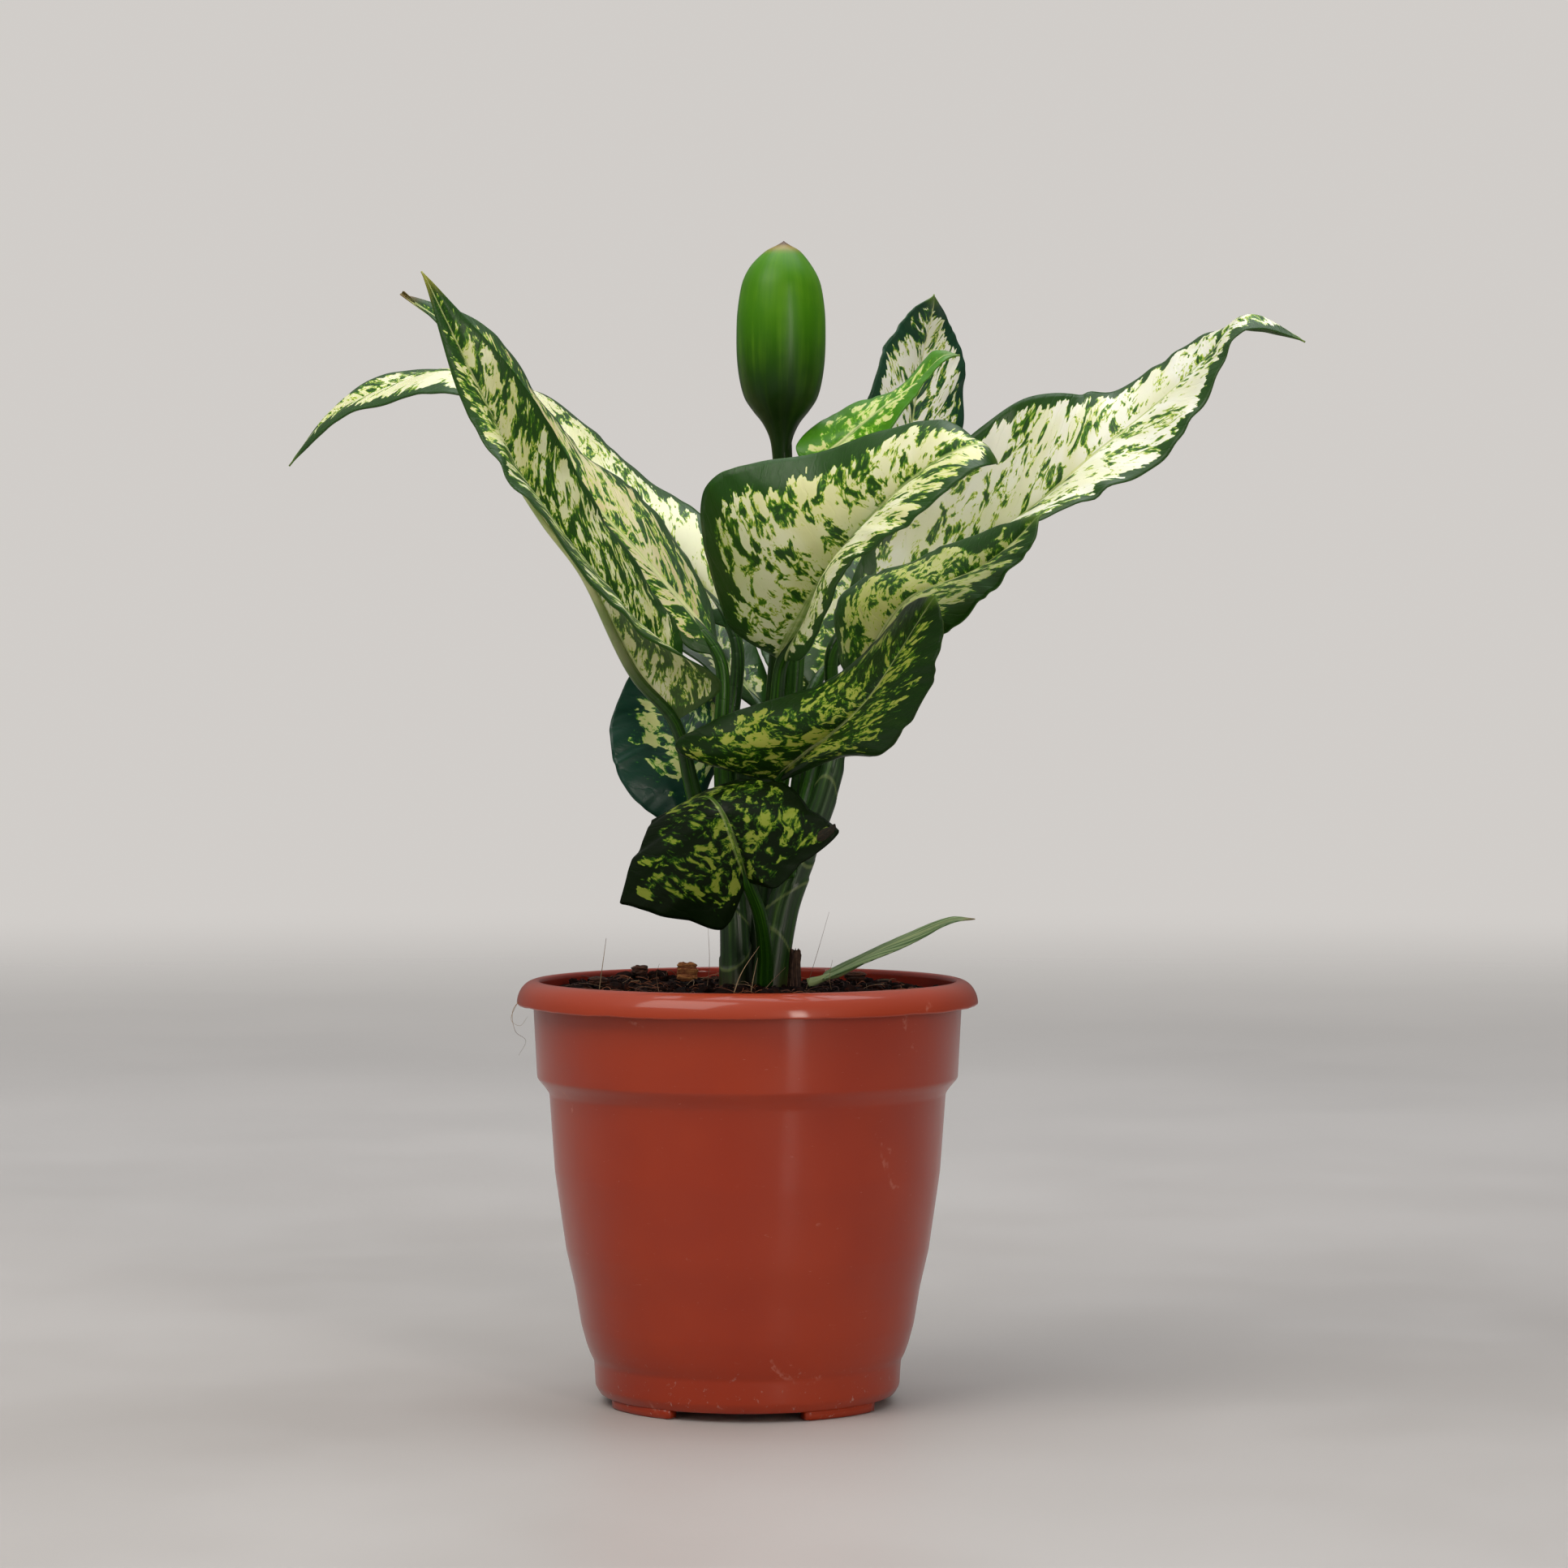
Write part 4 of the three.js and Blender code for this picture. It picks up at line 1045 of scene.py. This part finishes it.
def pot_outline():
    """The section of the pot's wall: from its floor's middle up outside, over the lip and down inside."""
    reach = LIP_RADIUS - RIM_RADIUS
    arc = [[RIM_RADIUS + reach * math.cos(a), POT_HEIGHT - LIP_DROP + LIP_DROP * math.sin(a)]
           for a in np.radians([9, 18, 27, 36, 45, 54, 63, 72, 81])]
    outside = [[0, FOOT_HEIGHT + 0.6], [40, FOOT_HEIGHT + 0.6], [44, FOOT_HEIGHT], *BODY,
               [72.2, 111.4], [73, COLLAR_BOTTOM], [74.2, 136], [74.3, 141]]
    lip = [[75.5, 143.0], [77.2, 141.4], [LIP_RADIUS - WALL, POT_HEIGHT - LIP_DROP],
           [LIP_RADIUS, POT_HEIGHT - LIP_DROP], *arc, [RIM_RADIUS, POT_HEIGHT],
           [RIM_RADIUS - 1.0, POT_HEIGHT - 0.3], [RIM_RADIUS - 1.5, POT_HEIGHT - 1.4]]
    inside = [[72.4, 136], [73 - WALL, COLLAR_BOTTOM]] + [[r - WALL, max(z, FOOT_HEIGHT + WALL)]
                                                         for r, z in BODY[:0:-1]]
    return rounded(outside + lip + inside + [[50, FOOT_HEIGHT + WALL], [0, FOOT_HEIGHT + WALL]], 0.9)


def turned_pot(finish):
    """The wall: its section turned round the pot's axis."""
    turner = Grower("turn_on_axis", Turns=224, Hub=0.0001, Material=finish)
    section = turner.node("GeometryNodeMeshToCurve", sockets={0: turner.given()})
    circle = turner.node("GeometryNodeCurvePrimitiveCircle",
                         sockets={"Resolution": turner.given("Turns"), "Radius": turner.given("Hub")})
    wall = turner.node("GeometryNodeCurveToMesh", sockets={"Curve": circle, "Profile Curve": section})
    wall = turner.node("GeometryNodeMergeByDistance", sockets={"Geometry": wall, "Distance": WELD_DISTANCE})
    turner.finish(wall)
    outline = pot_outline() * MM
    mesh = bpy.data.meshes.new("pot_section")
    count = len(outline)
    edges = [(i, (i + 1) % count) for i in range(count)]
    mesh.from_pydata([(-r, -z, 0) for r, z in outline.tolist()], edges, [])
    return turner.run(mesh)


def foot_ring(finish):
    """Four low feet under the pot's floor."""
    ring = Grower("feet", Feet=4, Turn=math.radians(FIRST_FOOT - 90), Material=finish)
    places = ring.node("GeometryNodeMeshCircle", sockets={"Vertices": ring.given("Feet"), "Radius": 0.001})
    step = ring.node("GeometryNodeInputIndex") * (2 * math.pi) / ring.given("Feet") + ring.given("Turn")
    turn = ring.node("ShaderNodeCombineXYZ", sockets={2: step})
    centred = ring.node("GeometryNodeSetPosition", sockets={"Geometry": places, "Position": (0, 0, 0)})
    feet = ring.node("GeometryNodeInstanceOnPoints",
                     sockets={"Points": centred, "Instance": ring.given(), "Rotation": turn})
    ring.finish(feet)
    half = math.radians(FOOT_SPAN / 2)
    angle = np.linspace(-half, half, 14)
    inner, outer = FOOT_RADIUS - FOOT_WIDTH / 2, FOOT_RADIUS + FOOT_WIDTH / 2
    section = [[inner, FOOT_HEIGHT + 0.7], [inner + 0.3, 0.5], [inner + 0.9, 0.0], [outer - 0.9, 0.0],
               [outer - 0.3, 0.5], [outer, FOOT_HEIGHT + 0.7]]
    rows = []
    for i, a in enumerate(angle):
        shrink = 0.35 if i in (0, len(angle) - 1) else 0.0
        rows.append([[r * math.cos(a), r * math.sin(a), max(z, shrink)] for r, z in section])
    points, faces = tube(np.array(rows))
    if enclosed(points, faces) < 0:
        faces = [face[::-1] for face in faces]
    mesh = bpy.data.meshes.new("foot")
    mesh.from_pydata((points * MM).tolist(), [], faces)
    return ring.run(mesh)


def pot():
    finish = pot_finish()
    wall, feet = turned_pot(finish), foot_ring(finish)
    places = np.empty(len(wall.vertices) * 3)
    wall.vertices.foreach_get("co", places)
    places = places.reshape(-1, 3)
    away = np.hypot(places[:, 0], places[:, 1]) / MM
    turn = np.arctan2(places[:, 1], places[:, 0])
    height = places[:, 2] / MM
    hem = smooth(77.5, 79.5, away) * smooth(140.5, 137.6, height)
    flash = 0.22 * ripple(turn * 9, 1.3) + 0.10 * ripple(turn * 31, 4.2)
    places[:, 2] += hem * flash * MM
    settle_in = 0.28 * ripple(turn * 1.5, 2.0, 2) * smooth(60, 146, height) * smooth(20, 50, away)
    places[:, :2] *= (1 + settle_in / np.maximum(away, 10))[:, None]
    faces = [list(face.vertices) for face in wall.polygons]
    points = places / MM
    body = Body().add(points, faces)
    place = np.empty(len(feet.vertices) * 3)
    feet.vertices.foreach_get("co", place)
    body.add(place.reshape(-1, 3) / MM, [list(face.vertices) for face in feet.polygons])
    body.piece("moulded_pot", finish, "terracotta_plastic", "pot")


pot()


# ---------------------------------------------------------------- the soil
def soil_height(x, y):
    crown = SOIL_CROWN * (1 - (x * x + y * y) / 72**2)
    heap = 2.6 * np.exp(-((x + 44) ** 2 + (y - 34) ** 2) / 700)
    return SOIL_EDGE + crown + heap + 0.5 * np.sin(x / 7) * np.cos(y / 6)


def soil():
    rings, sides = 90, 220
    radius = np.linspace(0.4, SOIL_RADIUS, rings)
    angle = np.linspace(0, 2 * np.pi, sides, endpoint=False)
    x, y = radius[:, None] * np.cos(angle), radius[:, None] * np.sin(angle)
    rough = (0.55 * ripple(x / 3.1 + 1.4 * np.sin(y / 4.7), 1.1)
             * ripple(y / 3.4 + 1.2 * np.sin(x / 5.3), 2.7)
             + 0.9 * ripple(x / 9 + 0.8 * np.sin(y / 8), 5.0, 2) * ripple(y / 10, 6.1, 2)
             + 0.35 * ripple(x / 1.3 + y / 2.1, 8.8, 2) * ripple(y / 1.2 - x / 2.7, 3.3, 2))
    z = soil_height(x, y) + rough * smooth(72, 66, radius)[:, None] - 0.6
    top = np.stack([x, y, z], axis=-1)
    side = np.stack([x[-1], y[-1], np.full(sides, SOIL_SKIRT)], axis=-1)[None]
    foot = np.stack([x[0], y[0], np.full(sides, SOIL_FOOT)], axis=-1)[None]
    grid = np.concatenate([top, side, foot])
    points, faces = tube(grid)
    finish = soil_finish("potting_soil")
    Body().add(points, faces).piece("soil_bed", finish, "potting_soil", "soil")
    ground = bpy.data.meshes.new("ground")
    count = (rings - 6) * sides
    ground.from_pydata((points[:count] * MM).tolist(), [], skin(rings - 6, sides, wrap=True))
    if ground.polygons[0].normal.z < 0:
        ground.flip_normals()
    return ground


def scatter(name, ground, seed, amount, smallest, largest, finish, faces=1, roughen=0.35):
    """Crumbs strewn over the soil, each one a small ball pushed out of shape."""
    grower = Grower(name, Amount=float(amount), Smallest=float(smallest), Largest=float(largest), Seed=seed,
                    Roughen=float(roughen), Material=finish)
    points = grower.node("GeometryNodeDistributePointsOnFaces", {"distribute_method": "RANDOM"},
                         {"Mesh": grower.given(), "Density": grower.given("Amount"),
                          "Seed": grower.given("Seed")})
    ball = grower.node("GeometryNodeMeshIcoSphere", sockets={"Radius": 1.0, "Subdivisions": faces})
    size = grower.random(grower.given("Smallest"), grower.given("Largest"), grower.given("Seed"))
    stretch = grower.random((0.7, 0.6, 0.35), (1.5, 1.1, 1.0), 3, "FLOAT_VECTOR")
    turn = grower.random((-0.7, -0.7, 0.0), (0.7, 0.7, FULL_TURN), 4, "FLOAT_VECTOR")
    scale = grower.node("ShaderNodeVectorMath", {"operation": "SCALE"}, {0: stretch, 3: size})
    crumbs = grower.node("GeometryNodeInstanceOnPoints",
                         sockets={"Points": points, "Instance": ball, "Rotation": turn, "Scale": scale})
    crumbs = grower.node("GeometryNodeRealizeInstances", sockets={0: crumbs})
    where = grower.node("GeometryNodeInputPosition")
    noise = grower.node("ShaderNodeTexNoise", out=1,
                        sockets={"Vector": where, "Scale": CRUMB_NOISE_SCALE, "Detail": 1.0})
    shift = grower.node("ShaderNodeVectorMath", {"operation": "SUBTRACT"}, {0: noise, 1: (0.5, 0.5, 0.5)})
    shift = grower.node("ShaderNodeVectorMath", {"operation": "SCALE"},
                        {0: shift, 3: grower.given("Largest") * grower.given("Roughen") * 4})
    crumbs = grower.node("GeometryNodeSetPosition", sockets={"Geometry": crumbs, "Offset": shift})
    grower.finish(crumbs)
    return grower.run(ground.copy())


def strew_fibres(name, ground, seed, amount, length, bend, thick, tilt, finish):
    """Thin bent fibres scattered on the soil."""
    grower = Grower(name, Amount=float(amount), Length=float(length), Bend=float(bend),
                    Thickness=float(thick), Seed=seed, Material=finish)
    points = grower.node("GeometryNodeDistributePointsOnFaces", {"distribute_method": "RANDOM"},
                         {"Mesh": grower.given(), "Density": grower.given("Amount"),
                          "Seed": grower.given("Seed")})
    half = grower.given("Length") * 0.5
    ends = [grower.node("ShaderNodeCombineXYZ", sockets={0: half * sign, 1: 0.0, 2: 0.0}) for sign in (-1, 1)]
    crest = grower.node("ShaderNodeCombineXYZ",
                        sockets={0: 0.0, 1: grower.given("Bend"), 2: grower.given("Bend") * 0.8})
    hair = grower.node("GeometryNodeCurveQuadraticBezier",
                       sockets={"Resolution": 6, "Start": ends[0], "Middle": crest, "End": ends[1]})
    ring = grower.node("GeometryNodeCurvePrimitiveCircle",
                       sockets={"Resolution": 3, "Radius": grower.given("Thickness")})
    hair = grower.node("GeometryNodeCurveToMesh",
                       sockets={"Curve": hair, "Profile Curve": ring, "Fill Caps": True})
    turn = grower.random((-tilt, -tilt, 0.0), (tilt, tilt, FULL_TURN), 5, "FLOAT_VECTOR")
    size = grower.random((0.4, 0.4, 0.4), (1.3, 1.5, 1.6), 6, "FLOAT_VECTOR")
    strewn = grower.node("GeometryNodeInstanceOnPoints",
                         sockets={"Points": points, "Instance": hair, "Rotation": turn, "Scale": size})
    grower.finish(strewn)
    return grower.run(ground.copy())


def set_down(name, mesh, finish, slot="potting_soil", flat=False):
    """A grown mesh is moved from the pot's axis to its place and settled."""
    places = np.empty(len(mesh.vertices) * 3)
    mesh.vertices.foreach_get("co", places)
    mesh.vertices.foreach_set("co", (places.reshape(-1, 3) + POT_AXIS).ravel())
    return settle(name, mesh, finish, slot, flat=flat)


ground = soil()
set_down("soil_crumbs", scatter("crumbs", ground, 11, 90000, 0.0005, 0.0014,
                                soil_finish("dark_crumbs", "#080303", "#180b08", "#35150a")),
         bpy.data.materials["dark_crumbs"], flat=True)
set_down("soil_lumps", scatter("lumps", ground, 23, 7000, 0.0014, 0.003,
                               soil_finish("brown_lumps", "#0c0504", "#1f0e09", "#401c0d"), faces=2,
                               roughen=0.3),
         bpy.data.materials["brown_lumps"])
rust_fibre = fibre_finish("rust_fibre", "#3c1a0c", "#7c4422")
pale_fibre = fibre_finish("pale_fibre", "#5f452e", "#a58a68")
set_down("rust_fibres", strew_fibres("fibres", ground, 31, 17000, 0.009, 0.0022, 0.00012, 0.35, rust_fibre),
         rust_fibre)
set_down("pale_fibres", strew_fibres("hairs", ground, 37, 3000, 0.014, 0.004, 0.00009, 0.5, pale_fibre),
         pale_fibre)

STANDING_FIBRES = [
    ([[-51, -10, 143], [-50, -12, 150], [-48.5, -13, 161]], 0.16),
    ([[-14, -22, 143], [-13, -23, 153], [-13.4, -24, 165]], 0.10),
    ([[-5, -27, 142], [-2, -28, 150], [4, -27, 159]], 0.2),
    ([[1, -25, 142], [2, -26, 148], [3.5, -26, 155]], 0.16),
    ([[4, -30, 142], [8, -31, 147], [13, -30, 152]], 0.14),
    ([[20, -12, 143], [24, -13, 156], [28, -14, 170]], 0.09),
    ([[-30, -25, 142], [-31, -24, 149], [-30, -26, 153]], 0.1),
    ([[29, -20, 142], [28, -21, 148], [29, -22, 154]], 0.1),
]
LIP_HAIRS = [
    ([[-77, -12, 141], [-80.6, -13, 136], [-79.6, -14, 129], [-76, -15, 126], [-78.4, -16, 121]], 0.09),
    ([[-79, -10, 139], [-81.2, -12, 133], [-78, -14, 131], [-75.5, -13, 134]], 0.08),
]


def lone_hairs(name, hairs, finish):
    body = Body()
    for points, thick in hairs:
        rings, t, angle, length = swept(points, lambda t, a: thick * (1.1 - 0.7 * t) + 0 * a, 26, 6)
        corners, faces = tube(rings)
        body.add(corners, faces)
    body.piece(name, finish, "potting_soil")


lone_hairs("standing_fibres", STANDING_FIBRES, pale_fibre)
lone_hairs("lip_hairs", LIP_HAIRS, pale_fibre)
